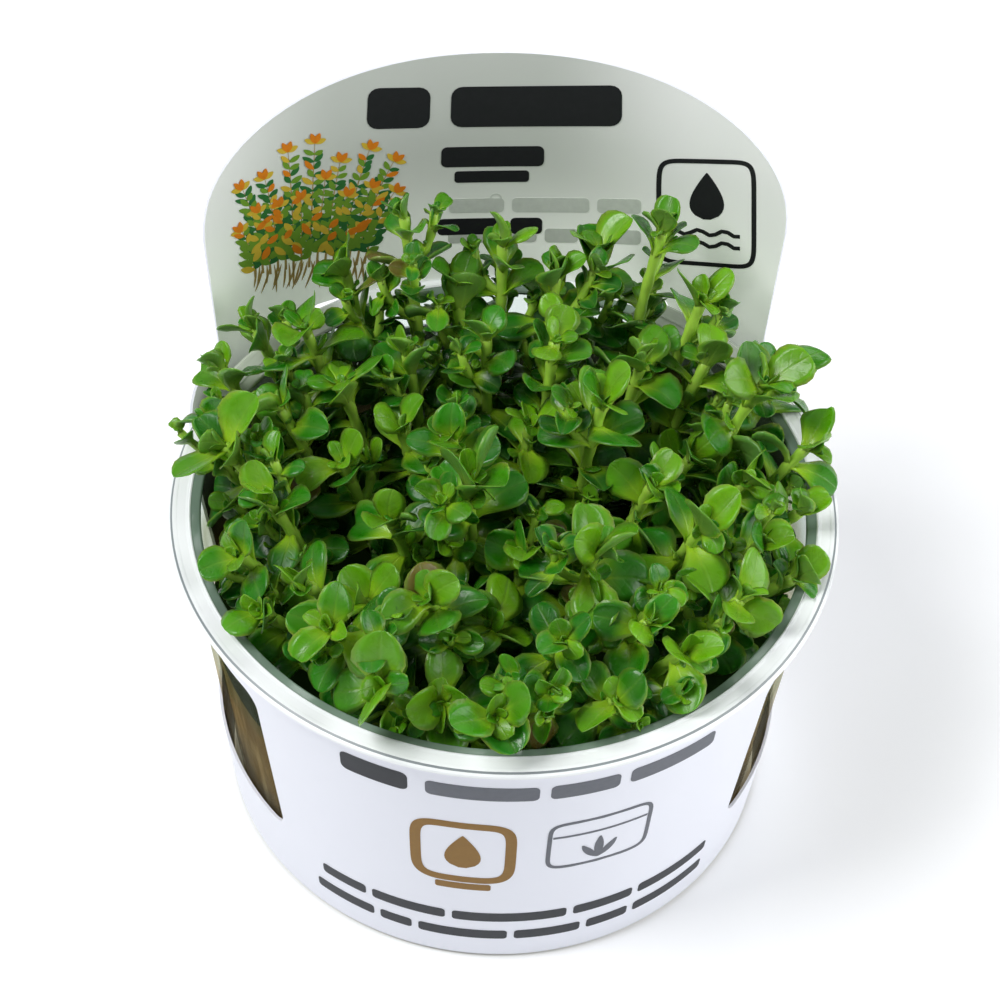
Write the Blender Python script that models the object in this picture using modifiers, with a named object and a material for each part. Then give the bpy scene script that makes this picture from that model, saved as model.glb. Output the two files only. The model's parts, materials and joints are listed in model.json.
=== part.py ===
# A small rotala, an aquarium plant, in the clear cup that it is grown and sold in.
# Metres, +Z up. The origin is the middle of the cup's base, and the front of the label faces -Y.
# The cup stands on its flat base. The label is one sheet: it wraps the cup and rises behind the plant as a tag.

from math import atan2, cos, pi, radians, sin

import bmesh
import bpy
import numpy as np
from mathutils import Matrix

MM = 0.001
GAP = 0.3 * MM                    # left between pieces that touch

# Cup: a thin tapered wall with a flat rim turned outwards
RIM_RADIUS = 50.0 * MM
CUP_HEIGHT = 58.0 * MM
RIM_THICKNESS = 1.0 * MM
RIM_ROUNDING = 0.4 * MM
FOOT_RADIUS = 42.4 * MM
WALL_TOP_RADIUS = 47.4 * MM
WALL = 0.8 * MM
FLOOR = 1.2 * MM
FOOT_CHAMFER = 0.8 * MM
CUP_STEPS = 36

# Growing medium: a set gel in the lower part of the cup
GEL_TOP = 36.0 * MM

# Label sheet: the sleeve on the cup, and the tag that the same sheet makes behind the plant
SHEET = 0.45 * MM
SLEEVE_CLEARANCE = 0.35 * MM      # between the cup's wall and the sheet
SLEEVE_LOW = 0.8 * MM
SLEEVE_TOP = 56.2 * MM
TAG_BEND_RADIUS = 68.5 * MM       # the free tag is flatter than the cup
TAG_STAND = 47.9 * MM             # from the cup's axis back to the tag's middle, at the rim
TAG_LEAN = 0.09                   # the tag leans back by this share of its height, as the cup's wall does
TAG_HALF_WIDTH = 46.5 * MM        # along the sheet, at the rim
TAG_WIDEST = 48.0 * MM            # along the sheet, where the round top begins
TAG_SHOULDER = 22.0 * MM          # height above the rim where the round top begins
TAG_ARCH = 21.0 * MM              # height of the round top
TAG_ARCH_POWER = 2.5              # of the superellipse that the round top follows
SLOT_HALF_WIDTH = 29.5 * MM       # the rim comes out through a slot in the sheet
SLOT_LOW = 49.0 * MM
SLOT_TOP = CUP_HEIGHT + 0.35 * MM
FLARE_LOW = 26.0 * MM             # height at which the sheet begins to leave the wall for the flatter tag
FLARE_SIDE = 66.0 * MM            # along the sheet from the back: past this the sheet stays on the wall
WINDOW_MIDDLE = radians(78)       # from the front, one on each side
WINDOW_WIDTH = 42.0 * MM
WINDOW_LOW = 16.0 * MM
WINDOW_TOP = 50.0 * MM
WINDOW_CORNER = 3.0 * MM
CUTTER_DEPTH = 14.0 * MM          # through the sheet's bend, which is deeper at the middle of a window
CUTTER_INSET = 2.0 * MM
SLOT_COLUMNS = 5                  # of the sheet's faces, from the back's middle to the slot's end
ARM_SHARES = (0.35, 0.64, 0.84, 0.95, 1.0)    # from the slot's end to the tag's edge, closer where its top falls
SIDE_COLUMNS = 14                 # from the tag's edge round to the front's middle

# Shoots: a square stem with opposite pairs of leaves, each pair turned a quarter from the next
STEM_HALF = 0.75 * MM
NODE_HALF = 0.6 * MM              # half the length of stem that a pair of leaves grows from
STEM_SAMPLES = 61
ROOT_SPREAD = 0.78                # a stem's root is nearer to the cup's axis than its tip
PAIR_DEPTHS = (0.6 * MM, 4.0 * MM, 8.4 * MM, 13.2 * MM)     # below the tip
PAIR_ANGLES = (radians(26), radians(46), radians(58), radians(66))    # from the stem, on a closed shoot
PAIR_LENGTHS = (0.56, 0.82, 0.95, 0.95)    # of the shoot's own leaf length, on a closed shoot
OPEN_ANGLES = (radians(24), radians(16), radians(14), radians(12))    # added on a fully opened shoot
OPEN_LENGTHS = (0.40, 0.18, 0.05, 0.0)     # added on a fully opened shoot
LEAF_BEND = radians(20)           # the outer part of a leaf curves away from the stem
LEAF_WIDEST = 0.58                # of the leaf's length
LEAF_WIDTH = 0.78                 # of the leaf's length
LEAF_TIP_WIDTH = 0.42             # of the leaf's length
LEAF_THICKNESS = 0.9 * MM
FULL_PAIRS_RADIUS = 34.0 * MM     # shoots further out than this show their lowest pair too
FULL_PAIRS_HEIGHT = 75.5 * MM     # and so do those taller than this

# Room around the leaves, for the layout that keeps them apart
LEAF_ROOM = 1.25 * MM             # across the leaf, from one middle surface to another
LEAF_EDGE_ROOM = 1.05 * MM        # along the leaf
STEM_ROOM = 1.65 * MM             # from a stem's middle to a leaf's middle surface
WALL_ROOM = 1.0 * MM
SEARCH = 14.0 * MM                # leaves further off than this can't touch
INNER_SAMPLES = (0.4, 0.7, 1.0)   # shares of the way from a leaf's root to its widest place
OUTER_SAMPLES = (0.33, 0.67, 1.0)    # and on to its tip
SIDE_SAMPLES = (-1.0, -0.5, 0.0, 0.5, 1.0)    # of its half width
SHRINKS = (1.0, 0.86, 0.72, 0.6)  # changes tried on a leaf that has no room: share of its length,
LIFTS = (0, -12, 12, -24, 22)     # degrees added to its angle from the stem
TWISTS = (0, 14, -14, 28, -28)    # and degrees that it turns round the stem
SHRINK_COST = 110                 # degrees of turning that count as much as losing the whole length

# Tip x, y and height, and leaf length, in mm, the turn of the uppermost pair in degrees, and how far the shoot
# has opened: at 0 its upper leaves are small and upright, at 1 they are full size and spread
SHOOTS = (
    (-37, 28, 67, 7.5, 10, 0.5), (-23, 34, 73, 7.5, 75, 0.6), (-14, 35, 83, 7.0, 20, 0.1),
    (-6, 31, 72, 8.0, 50, 0.5), (1, 35, 77, 7.5, 0, 0.6), (9, 30, 75, 8.5, 8, 0.2),
    (16, 36, 74, 8.5, 30, 0.8), (25, 33, 81, 8.0, 60, 0.4), (31, 26, 73, 8.0, 15, 0.7),
    (-29, 24, 70, 8.5, 80, 0.8), (44, 18, 66, 8.0, 40, 0.7), (45, 3, 65, 8.0, 70, 0.8),
    (43, -7, 62, 7.0, 20, 0.5), (41, -18, 60, 7.5, 55, 0.6), (36, -15, 64, 7.5, 5, 0.7),
    (-42, 21, 65, 7.5, 50, 0.4), (-43, 11, 64, 7.0, 0, 0.5), (-41, 2, 69, 9.0, 30, 1.0),
    (-35, -7, 67, 7.5, 75, 0.6), (-39, -13, 62, 7.5, 15, 0.6), (-33, 12, 66, 8.0, 45, 0.7),
    (-24, 15, 68, 8.0, 5, 0.8), (-14, 20, 69, 7.5, 60, 0.4), (-15, 9, 64, 7.5, 25, 0.7),
    (-8, 2, 70, 8.0, 80, 0.5), (-2, 21, 71, 7.5, 35, 0.5), (8, 18, 73, 7.5, 70, 0.6),
    (14, 4, 74, 9.0, 12, 0.8), (21, 15, 71, 8.5, 50, 0.7), (31, 17, 69, 8.0, 85, 0.6),
    (38, 9, 72, 9.5, 25, 0.9), (-6, -8, 71, 9.5, 40, 1.0), (4, 9, 64, 7.5, 5, 0.7),
    (21, -5, 66, 8.0, 60, 0.6), (27, -16, 69, 8.5, 30, 0.9), (35, -3, 64, 7.5, 75, 0.7),
    (-24, 3, 63, 8.0, 15, 0.8), (-17, -9, 64, 8.0, 55, 0.7), (11, -22, 71, 9.0, 4, 1.0),
    (18, -31, 67, 7.5, 65, 0.5), (6, -33, 66, 7.5, 35, 0.5), (-12, -26, 67, 8.5, 20, 0.8),
    (2, -14, 62, 8.0, 70, 0.8), (-26, -30, 66, 8.0, 50, 0.7), (-19, -38, 63, 9.5, 78, 1.0),
    (-29, -19, 62, 8.0, 10, 0.8), (-4, -44, 64, 8.0, 28, 1.0), (4, -41, 65, 7.0, 72, 0.2),
    (13, -40, 61, 8.0, 45, 0.8), (23, -35, 65, 8.0, 18, 0.7), (32, -25, 64, 8.0, 60, 0.8),
    (-11, -38, 59, 8.0, 0, 0.8), (-21, -19, 58, 8.0, 30, 0.9), (-3, -24, 58, 8.0, 60, 0.9),
    (11, -11, 59, 8.0, 25, 0.9), (28, 4, 62, 7.5, 50, 0.7), (-36, -22, 60, 7.5, 35, 0.7),
)

COLOURS = {                       # base colour and roughness
    "cup": ((0.86, 0.90, 0.89), 0.15),
    "label_sleeve": ((0.84, 0.85, 0.88), 0.40),
    "growing_medium": ((0.12, 0.09, 0.05), 0.35),
    "shoot": ((0.13, 0.36, 0.03), 0.30),
}


def clear_scene():
    for thing in list(bpy.data.objects):
        bpy.data.objects.remove(thing, do_unlink=True)


def new_collection(name):
    collection = bpy.data.collections.new(name)
    bpy.context.scene.collection.children.link(collection)
    return collection


def add_object(name, mesh, collection):
    thing = bpy.data.objects.new(name, mesh)
    collection.objects.link(thing)
    return thing


def paint(thing, finish):
    colour, roughness = COLOURS[finish]
    material = bpy.data.materials.new(thing.name)
    material.use_nodes = True
    shader = material.node_tree.nodes["Principled BSDF"]
    shader.inputs["Base Color"].default_value = (*colour, 1.0)
    shader.inputs["Roughness"].default_value = roughness
    shader.inputs["Metallic"].default_value = 0.0
    thing.data.materials.append(material)


def wall_radius(z):
    """Outer radius of the cup's wall at a height: a straight cone."""
    return FOOT_RADIUS + (WALL_TOP_RADIUS - FOOT_RADIUS) * z / (CUP_HEIGHT - RIM_THICKNESS)


# Turned pieces

def turned(name, profile, steps, collection):
    """A closed solid turned about Z from a profile of (radius, height) that runs down its outer side."""
    mesh = bpy.data.meshes.new(name)
    points = [(radius, 0.0, height) for radius, height in profile]
    mesh.from_pydata(points, [(i, i + 1) for i in range(len(points) - 1)], [])
    thing = add_object(name, mesh, collection)
    screw = thing.modifiers.new("turn", "SCREW")
    screw.axis = "Z"
    screw.steps = steps
    screw.render_steps = steps
    screw.use_merge_vertices = True
    screw.merge_threshold = 0.00005
    screw.use_smooth_shade = False
    return thing


def make_cup(collection):
    rim_under = CUP_HEIGHT - RIM_THICKNESS
    inner_top = CUP_HEIGHT - 2 * RIM_ROUNDING
    floor_edge = wall_radius(FLOOR) - WALL
    profile = [
        (0.0, FLOOR),
        (floor_edge - FOOT_CHAMFER, FLOOR),
        (floor_edge, FLOOR + FOOT_CHAMFER),
        (wall_radius(inner_top) - WALL, inner_top),
        (wall_radius(inner_top) - WALL + RIM_ROUNDING, CUP_HEIGHT),
        (RIM_RADIUS - RIM_ROUNDING, CUP_HEIGHT),
        (RIM_RADIUS, CUP_HEIGHT - RIM_ROUNDING),
        (RIM_RADIUS, rim_under + RIM_ROUNDING / 2),
        (RIM_RADIUS - RIM_ROUNDING / 2, rim_under),
        (WALL_TOP_RADIUS, rim_under),
        (wall_radius(FOOT_CHAMFER), FOOT_CHAMFER),
        (FOOT_RADIUS - FOOT_CHAMFER, 0.0),
        (0.0, 0.0),
    ]
    paint(turned("cup", profile, CUP_STEPS, collection), "cup")


def make_gel(collection):
    low = FLOOR + GAP
    edge = FOOT_CHAMFER + GAP
    clear = WALL + GAP
    profile = [
        (0.0, GEL_TOP),
        (wall_radius(GEL_TOP) - clear, GEL_TOP),
        (wall_radius(low + edge) - clear, low + edge),
        (wall_radius(low) - clear - edge, low),
        (0.0, low),
    ]
    paint(turned("growing_medium", profile, CUP_STEPS, collection), "growing_medium")


# Label sheet

def smooth_step(low, high, value):
    t = min(max((value - low) / (high - low), 0.0), 1.0)
    return t * t * (3.0 - 2.0 * t)


def sheet_point(along, z):
    """A point of the sheet's middle surface, from the distance along the sheet from the back's middle and the height.

    Low down it lies on the cup's cone. Behind, it goes over to the flatter arc that the free tag takes."""
    radius = wall_radius(z) + SLEEVE_CLEARANCE + SHEET / 2
    angle = along / (wall_radius(CUP_HEIGHT) + SLEEVE_CLEARANCE)
    cone = (radius * sin(angle), radius * cos(angle))
    bend = along / TAG_BEND_RADIUS
    back = TAG_STAND + TAG_LEAN * (z - CUP_HEIGHT)
    arc = (TAG_BEND_RADIUS * sin(bend), back - TAG_BEND_RADIUS * (1.0 - cos(bend)))
    share = smooth_step(FLARE_LOW, SLEEVE_TOP, z) * (1.0 - smooth_step(TAG_HALF_WIDTH, FLARE_SIDE, abs(along)))
    return (cone[0] + share * (arc[0] - cone[0]), cone[1] + share * (arc[1] - cone[1]), z)


def tag_rows(share):
    """Points of the tag above the slot, for a column at a share of its half width: rim, shoulder and round top."""
    shoulder = CUP_HEIGHT + TAG_SHOULDER
    arch = TAG_ARCH * (1.0 - min(abs(share), 1.0) ** TAG_ARCH_POWER) ** (1.0 / TAG_ARCH_POWER)
    rows = [(share * TAG_HALF_WIDTH, SLOT_TOP), (share * TAG_WIDEST, shoulder)]
    if abs(share) < 1.0:
        rows.append((share * TAG_WIDEST, shoulder + arch))
    return [sheet_point(along, z) for along, z in rows]


def column_places():
    """Distances along the sheet of its columns, from the back's middle round one side to the front's middle."""
    slot = [SLOT_HALF_WIDTH * i / SLOT_COLUMNS for i in range(SLOT_COLUMNS + 1)]
    arm = [SLOT_HALF_WIDTH + (TAG_HALF_WIDTH - SLOT_HALF_WIDTH) * share for share in ARM_SHARES]
    half_round = pi * (wall_radius(CUP_HEIGHT) + SLEEVE_CLEARANCE)
    spacing = (half_round - TAG_HALF_WIDTH) / SIDE_COLUMNS
    side = [TAG_HALF_WIDTH + spacing * i for i in range(1, SIDE_COLUMNS + 1)]
    return slot + arm + side


def make_label(collection, cutters):
    half = column_places()
    places = [-along for along in reversed(half[1:-1])] + half      # once round, the front's middle last
    heights = [SLEEVE_LOW, FLARE_LOW, (FLARE_LOW + SLOT_LOW) / 2, SLOT_LOW, SLEEVE_TOP]
    builder = bmesh.new()
    columns = []
    for along in places:
        columns.append([builder.verts.new(sheet_point(along, z)) for z in heights])
    tag = {}
    for index, along in enumerate(places):
        if abs(along) <= TAG_HALF_WIDTH + GAP:
            tag[index] = [builder.verts.new(point) for point in tag_rows(along / TAG_HALF_WIDTH)]
    for index in range(len(places)):
        following = (index + 1) % len(places)
        left, right = columns[index], columns[following]
        middle = abs(places[index] + places[following]) / 2
        behind = index in tag and following in tag
        rows = len(heights) - 1
        if behind and middle < SLOT_HALF_WIDTH:
            rows -= 1                                             # the slot
        for row in range(rows):
            builder.faces.new((left[row], left[row + 1], right[row + 1], right[row]))
        if not behind:
            continue
        left_tag, right_tag = tag[index], tag[following]
        if middle > SLOT_HALF_WIDTH:
            builder.faces.new((left[-1], left_tag[0], right_tag[0], right[-1]))
        for row in range(max(len(left_tag), len(right_tag)) - 1):
            corners = [left_tag[row], *left_tag[row + 1:row + 2], *right_tag[row + 1:row + 2], right_tag[row]]
            builder.faces.new(corners)
    mesh = bpy.data.meshes.new("label_sleeve")
    builder.to_mesh(mesh)
    builder.free()
    sheet = add_object("label_sleeve", mesh, collection)
    wall = sheet.modifiers.new("sheet", "SOLIDIFY")
    wall.thickness = SHEET
    wall.offset = 0.0
    wall.use_even_offset = True
    for side_sign in (-1, 1):
        cut = sheet.modifiers.new("window", "BOOLEAN")
        cut.operation = "DIFFERENCE"
        cut.solver = "EXACT"
        cut.object = make_window_cutter(side_sign, cutters)
    paint(sheet, "label_sleeve")


def make_window_cutter(side_sign, cutters):
    """A block with rounded corners through one side of the sheet. It leans with the cup's wall."""
    builder = bmesh.new()
    bmesh.ops.create_cube(builder, size=1.0)
    bmesh.ops.scale(builder, vec=(CUTTER_DEPTH, WINDOW_WIDTH, WINDOW_TOP - WINDOW_LOW), verts=builder.verts)
    through = [edge for edge in builder.edges if abs(edge.verts[0].co.x - edge.verts[1].co.x) > CUTTER_DEPTH / 2]
    bmesh.ops.bevel(builder, geom=through, offset=WINDOW_CORNER, segments=3, profile=0.5, affect="EDGES")
    middle = (WINDOW_LOW + WINDOW_TOP) / 2
    taper = atan2(WALL_TOP_RADIUS - FOOT_RADIUS, CUP_HEIGHT - RIM_THICKNESS)
    bmesh.ops.rotate(builder, matrix=Matrix.Rotation(taper, 3, "Y"), verts=builder.verts)
    bmesh.ops.translate(builder, vec=(wall_radius(middle) - CUTTER_INSET, 0.0, middle), verts=builder.verts)
    mesh = bpy.data.meshes.new("window_cutter")
    builder.to_mesh(mesh)
    builder.free()
    cutter = add_object("window_cutter", mesh, cutters)
    cutter.rotation_euler = (0.0, 0.0, side_sign * WINDOW_MIDDLE - pi / 2)
    cutter.hide_render = True
    cutter.display_type = "WIRE"
    return cutter


# Shoots

def unit(vectors):
    return vectors / np.sqrt((vectors * vectors).sum(-1, keepdims=True))


def stem_line(x, y, z):
    """Points up a stem's middle: it rises from the gel and leans out with the square of its height."""
    t = np.linspace(0.0, 1.0, STEM_SAMPLES)
    line = np.empty((STEM_SAMPLES, 3))
    line[:, 0] = x * (ROOT_SPREAD + (1.0 - ROOT_SPREAD) * t * t)
    line[:, 1] = y * (ROOT_SPREAD + (1.0 - ROOT_SPREAD) * t * t)
    line[:, 2] = GEL_TOP + GAP + (z - GEL_TOP - GAP) * t
    return line


def below_tip(line, depth):
    """The stem's middle at a depth below its tip, along the stem, and the direction of growth there."""
    steps = np.sqrt((np.diff(line, axis=0) ** 2).sum(1))
    lengths = np.concatenate(([0.0], np.cumsum(steps)))
    place = np.array([np.interp(lengths[-1] - depth, lengths, line[:, axis]) for axis in range(3)])
    lower = np.array([np.interp(lengths[-1] - depth - MM, lengths, line[:, axis]) for axis in range(3)])
    upper = np.array([np.interp(lengths[-1] - depth + MM, lengths, line[:, axis]) for axis in range(3)])
    return place, unit(upper - lower)


def stem_sides(growth, turn):
    """Two directions across a stem, square to its growth and to each other."""
    first = np.array([cos(turn), sin(turn), 0.0])
    first = unit(first - growth * (first * growth).sum())
    return first, np.cross(growth, first)


def lay_leaf(node, growth, out, length, angle, twist):
    """A leaf's root, widest place and tip, the direction across it, and the upward normals of its two flat parts."""
    out = unit(out * cos(twist) + np.cross(growth, out) * sin(twist))
    across = np.cross(growth, out)
    inner = cos(angle) * growth + sin(angle) * out
    outer = cos(angle + LEAF_BEND) * growth + sin(angle + LEAF_BEND) * out
    root = node + STEM_HALF * out
    wide = root + LEAF_WIDEST * length * inner
    tip = wide + (1.0 - LEAF_WIDEST) * length * outer
    return {
        "root": root, "wide": wide, "tip": tip, "across": across, "length": length,
        "ups": (np.cross(inner, across), np.cross(outer, across)),
    }


def leaf_samples(leaf):
    """Points spread over a leaf's middle surface, and the normal at each."""
    points, normals = [], []
    half_widths = (STEM_HALF, LEAF_WIDTH * leaf["length"] / 2, LEAF_TIP_WIDTH * leaf["length"] / 2)
    stretches = ((leaf["root"], leaf["wide"], INNER_SAMPLES), (leaf["wide"], leaf["tip"], OUTER_SAMPLES))
    for part, (start, end, shares) in enumerate(stretches):
        for share in shares:
            half = half_widths[part] * (1.0 - share) + half_widths[part + 1] * share
            for side in SIDE_SAMPLES:
                points.append(start + share * (end - start) + side * half * leaf["across"])
                normals.append(leaf["ups"][part])
    return np.array(points), np.array(normals)


def clear_of_holder(points):
    """True where points keep clear of the gel, of the cup's wall and rim, and of the tag."""
    radius = np.sqrt(points[:, 0] ** 2 + points[:, 1] ** 2)
    z = points[:, 2]
    inside = radius < wall_radius(z) - WALL - WALL_ROOM
    above = z > CUP_HEIGHT + WALL_ROOM
    behind = points[:, 1] - (TAG_STAND - TAG_BEND_RADIUS) - TAG_LEAN * (z - CUP_HEIGHT)
    before_tag = np.sqrt(points[:, 0] ** 2 + behind ** 2) < TAG_BEND_RADIUS - WALL_ROOM
    return bool(((inside | above) & before_tag & (z > GEL_TOP + WALL_ROOM)).all())


def touching(points, other_points, other_normals):
    """True where any point lies within the room that another leaf's samples keep."""
    apart = points[:, None, :] - other_points[None, :, :]
    across = (apart * other_normals[None, :, :]).sum(-1)
    flat = (apart * apart).sum(-1) - across * across
    return bool(((np.abs(across) < LEAF_ROOM) & (flat < LEAF_EDGE_ROOM ** 2)).any())


def leaf_choices():
    """Changes tried on a leaf until it has room, the smallest first: angle added, twist and share of its length."""
    choices = []
    for shrink in SHRINKS:
        for lift in LIFTS:
            for twist in TWISTS:
                cost = abs(lift) + abs(twist) + SHRINK_COST * (1.0 - shrink)
                choices.append((cost, radians(lift), radians(twist), shrink))
    return [choice[1:] for choice in sorted(choices)]


def lay_out_shoots():
    """All stems and leaves, with each leaf placed where it has room. The uppermost pairs come first."""
    shoots = []
    for x, y, z, length, turn, opened in SHOOTS:
        line = stem_line(x * MM, y * MM, z * MM)
        full = (x * x + y * y) ** 0.5 * MM > FULL_PAIRS_RADIUS or z * MM > FULL_PAIRS_HEIGHT
        shoots.append({"line": line, "turn": radians(turn), "length": length * MM, "opened": opened,
                       "pairs": 4 if full else 3, "leaves": {}})
    stems = [shoot["line"][::2] for shoot in shoots]
    points, normals, owners = np.empty((0, 3)), np.empty((0, 3)), np.empty(0, int)
    choices = leaf_choices()
    for pair in range(len(PAIR_DEPTHS)):
        for number, shoot in enumerate(shoots):
            if pair >= shoot["pairs"]:
                continue
            node, growth = below_tip(shoot["line"], PAIR_DEPTHS[pair])
            first, second = stem_sides(growth, shoot["turn"])
            usual_angle = PAIR_ANGLES[pair] + shoot["opened"] * OPEN_ANGLES[pair]
            usual_length = shoot["length"] * (PAIR_LENGTHS[pair] + shoot["opened"] * OPEN_LENGTHS[pair])
            other_stems = np.concatenate([stem for index, stem in enumerate(stems) if index != number])
            owner = number * len(PAIR_DEPTHS) + pair                      # the two leaves of a pair share it
            for side, out in enumerate((first, -first) if pair % 2 == 0 else (second, -second)):
                near = (np.abs(points - node).max(1) < SEARCH) & (owners != owner)
                near_stems = other_stems[np.abs(other_stems - node).max(1) < SEARCH]
                for lift, twist, shrink in choices:
                    leaf = lay_leaf(node, growth, out, usual_length * shrink, usual_angle + lift, twist)
                    spots, ups = leaf_samples(leaf)
                    if not clear_of_holder(spots):
                        continue
                    gaps = ((spots[:, None, :] - near_stems[None, :, :]) ** 2).sum(-1)
                    if (gaps < STEM_ROOM ** 2).any() or touching(spots, points[near], normals[near]):
                        continue
                    shoot["leaves"][pair, side] = leaf
                    points = np.concatenate((points, spots))
                    normals = np.concatenate((normals, ups))
                    owners = np.concatenate((owners, np.full(len(spots), owner)))
                    break
    return shoots


def extrude(builder, face):
    """Extrude one face on its own. Returns the new face and the faces along its edges, in its corners' order."""
    new = bmesh.ops.extrude_discrete_faces(builder, faces=[face])["faces"][0]
    sides = [next(other for other in loop.edge.link_faces if other is not new) for loop in new.loops]
    return new, sides


def set_section(face, middle, across, up, width, thickness):
    """Put a four-cornered face's corners on a flat section, each on the side where it already is."""
    seat = np.array(face.calc_center_median())
    for vert in face.verts:
        offset = np.array(vert.co) - seat
        side = np.sign((offset * across).sum())
        level = np.sign((offset * up).sum())
        vert.co = middle + side * width / 2 * across + level * thickness / 2 * up


def grow_leaf(builder, face, leaf, growth):
    """Draw a leaf out of one face of the stem: narrow at the stem, widest past its middle, thin at the tip."""
    length = leaf["length"]
    inner_up, outer_up = leaf["ups"]
    wide, _ = extrude(builder, face)
    set_section(wide, leaf["wide"], leaf["across"], inner_up, LEAF_WIDTH * length, LEAF_THICKNESS)
    tip, _ = extrude(builder, wide)
    set_section(tip, leaf["tip"], leaf["across"], outer_up, LEAF_TIP_WIDTH * length, 0.0)
    bmesh.ops.remove_doubles(builder, verts=list(tip.verts), dist=0.00001)


def grow_shoot(name, shoot, collection):
    """One closed solid: the square stem, lengthened from its root to its tip, then the leaves out of its sides."""
    line = shoot["line"]
    levels = [(np.sqrt((np.diff(line, axis=0) ** 2).sum(1)).sum(), None)]      # depth, and the pair just below it
    for pair in reversed(range(shoot["pairs"])):
        levels += [(PAIR_DEPTHS[pair] + NODE_HALF, None), (PAIR_DEPTHS[pair] - NODE_HALF, pair)]
    builder = bmesh.new()
    corners = ((1, -1), (1, 1), (-1, 1), (-1, -1))
    face, base, seats = None, None, {}
    for depth, pair in levels:
        middle, growth = below_tip(line, depth)
        if face is None:
            growth = np.array([0.0, 0.0, 1.0])                                 # a flat root
        first, second = stem_sides(growth, shoot["turn"])
        ring = [middle + STEM_HALF * (a * first + b * second) for a, b in corners]
        if face is None:
            base = [builder.verts.new(place) for place in ring]
            face = builder.faces.new(base)
            continue
        face, sides = extrude(builder, face)
        for loop, place in zip(face.loops, ring):
            loop.vert.co = place
        if pair is not None:
            seats[pair] = (sides, growth)
    builder.faces.new(base[::-1])
    for (pair, side), leaf in shoot["leaves"].items():
        sides, growth = seats[pair]
        order = (0, 2) if pair % 2 == 0 else (1, 3)
        grow_leaf(builder, sides[order[side]], leaf, growth)
    mesh = bpy.data.meshes.new(name)
    builder.to_mesh(mesh)
    builder.free()
    paint(add_object(name, mesh, collection), "shoot")


def main():
    clear_scene()
    parts = new_collection("rotala")
    cutters = new_collection("cutters")
    make_cup(parts)
    make_gel(parts)
    make_label(parts, cutters)
    for number, shoot in enumerate(lay_out_shoots(), start=1):
        grow_shoot(f"shoot_{number:02d}", shoot, parts)


main()
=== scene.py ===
# A small rotala, an aquarium plant, in the clear cup that it is grown and sold in.
# Lengths are in metres. The cup stands on the origin, its label faces -Y and the tag is behind, at +Y.

import json
from math import cos, pi, radians, sin

import bpy
import numpy as np
from mathutils import Matrix, Vector

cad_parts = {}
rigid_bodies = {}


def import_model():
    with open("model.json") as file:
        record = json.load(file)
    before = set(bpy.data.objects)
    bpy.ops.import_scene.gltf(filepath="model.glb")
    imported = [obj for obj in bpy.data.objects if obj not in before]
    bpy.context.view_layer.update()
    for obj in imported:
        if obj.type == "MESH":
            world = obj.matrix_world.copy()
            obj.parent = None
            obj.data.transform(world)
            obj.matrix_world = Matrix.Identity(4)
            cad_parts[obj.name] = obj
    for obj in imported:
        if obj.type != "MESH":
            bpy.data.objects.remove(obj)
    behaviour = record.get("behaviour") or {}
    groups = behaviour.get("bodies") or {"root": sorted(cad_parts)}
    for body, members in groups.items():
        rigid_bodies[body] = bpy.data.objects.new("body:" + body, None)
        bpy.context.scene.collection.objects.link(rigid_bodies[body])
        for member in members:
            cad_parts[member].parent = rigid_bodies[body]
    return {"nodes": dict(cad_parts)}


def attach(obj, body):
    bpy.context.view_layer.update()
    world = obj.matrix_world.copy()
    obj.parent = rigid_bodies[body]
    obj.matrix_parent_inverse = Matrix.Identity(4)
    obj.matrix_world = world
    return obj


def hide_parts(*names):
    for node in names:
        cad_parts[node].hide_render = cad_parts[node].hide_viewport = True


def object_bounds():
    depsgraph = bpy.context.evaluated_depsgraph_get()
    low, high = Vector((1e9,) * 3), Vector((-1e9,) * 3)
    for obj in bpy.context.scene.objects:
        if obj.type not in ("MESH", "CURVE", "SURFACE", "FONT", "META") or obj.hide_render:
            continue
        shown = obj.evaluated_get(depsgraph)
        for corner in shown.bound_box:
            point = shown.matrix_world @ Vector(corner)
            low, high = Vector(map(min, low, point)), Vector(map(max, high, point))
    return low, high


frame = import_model()
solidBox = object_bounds()
mm = 0.001
print("the solids are loaded:", len(frame["nodes"]))


# Colours and node helpers

def shade(red, green, blue):
    # a screen colour from 0 to 255, turned to linear light
    values = np.array((red, green, blue)) / 255
    linear = np.where(values < 0.04045, values / 12.92, ((values + 0.055) / 1.055) ** 2.4)
    return (*linear.tolist(), 1.0)


def feed(socket, value):
    # a socket is linked, and a number or colour is set on the input itself
    if isinstance(value, bpy.types.NodeSocket):
        socket.id_data.links.new(value, socket)
    else:
        socket.default_value = value


def addNode(tree, kind, inputs=(), **settings):
    node = tree.nodes.new("ShaderNode" + kind)
    for key, value in settings.items():
        setattr(node, key, value)
    for key, value in dict(inputs).items():
        feed(node.inputs[key], value)
    return node


def sums(operation, first, second=0.0, clamped=False):
    # one of the two, at least, is a socket
    tree = (first if isinstance(first, bpy.types.NodeSocket) else second).id_data
    return addNode(tree, "Math", {0: first, 1: second}, operation=operation, use_clamp=clamped).outputs[0]


def times(first, second):
    return sums("MULTIPLY", first, second)


def ramp(value, low, high, start=0.0, end=1.0):
    # goes smoothly from start to end while the value goes from low to high
    inputs = {"Value": value, "From Min": low, "From Max": high, "To Min": start, "To Max": end}
    return addNode(value.id_data, "MapRange", inputs, interpolation_type="SMOOTHSTEP").outputs["Result"]


def covered(colour, *layers):
    # each layer is a mask and the colour that it brings over what lies below
    for mask, cover in layers:
        inputs = {"Factor": mask, "A": colour, "B": cover}
        colour = addNode(mask.id_data, "Mix", inputs, data_type="RGBA").outputs["Result"]
    return colour


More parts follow.
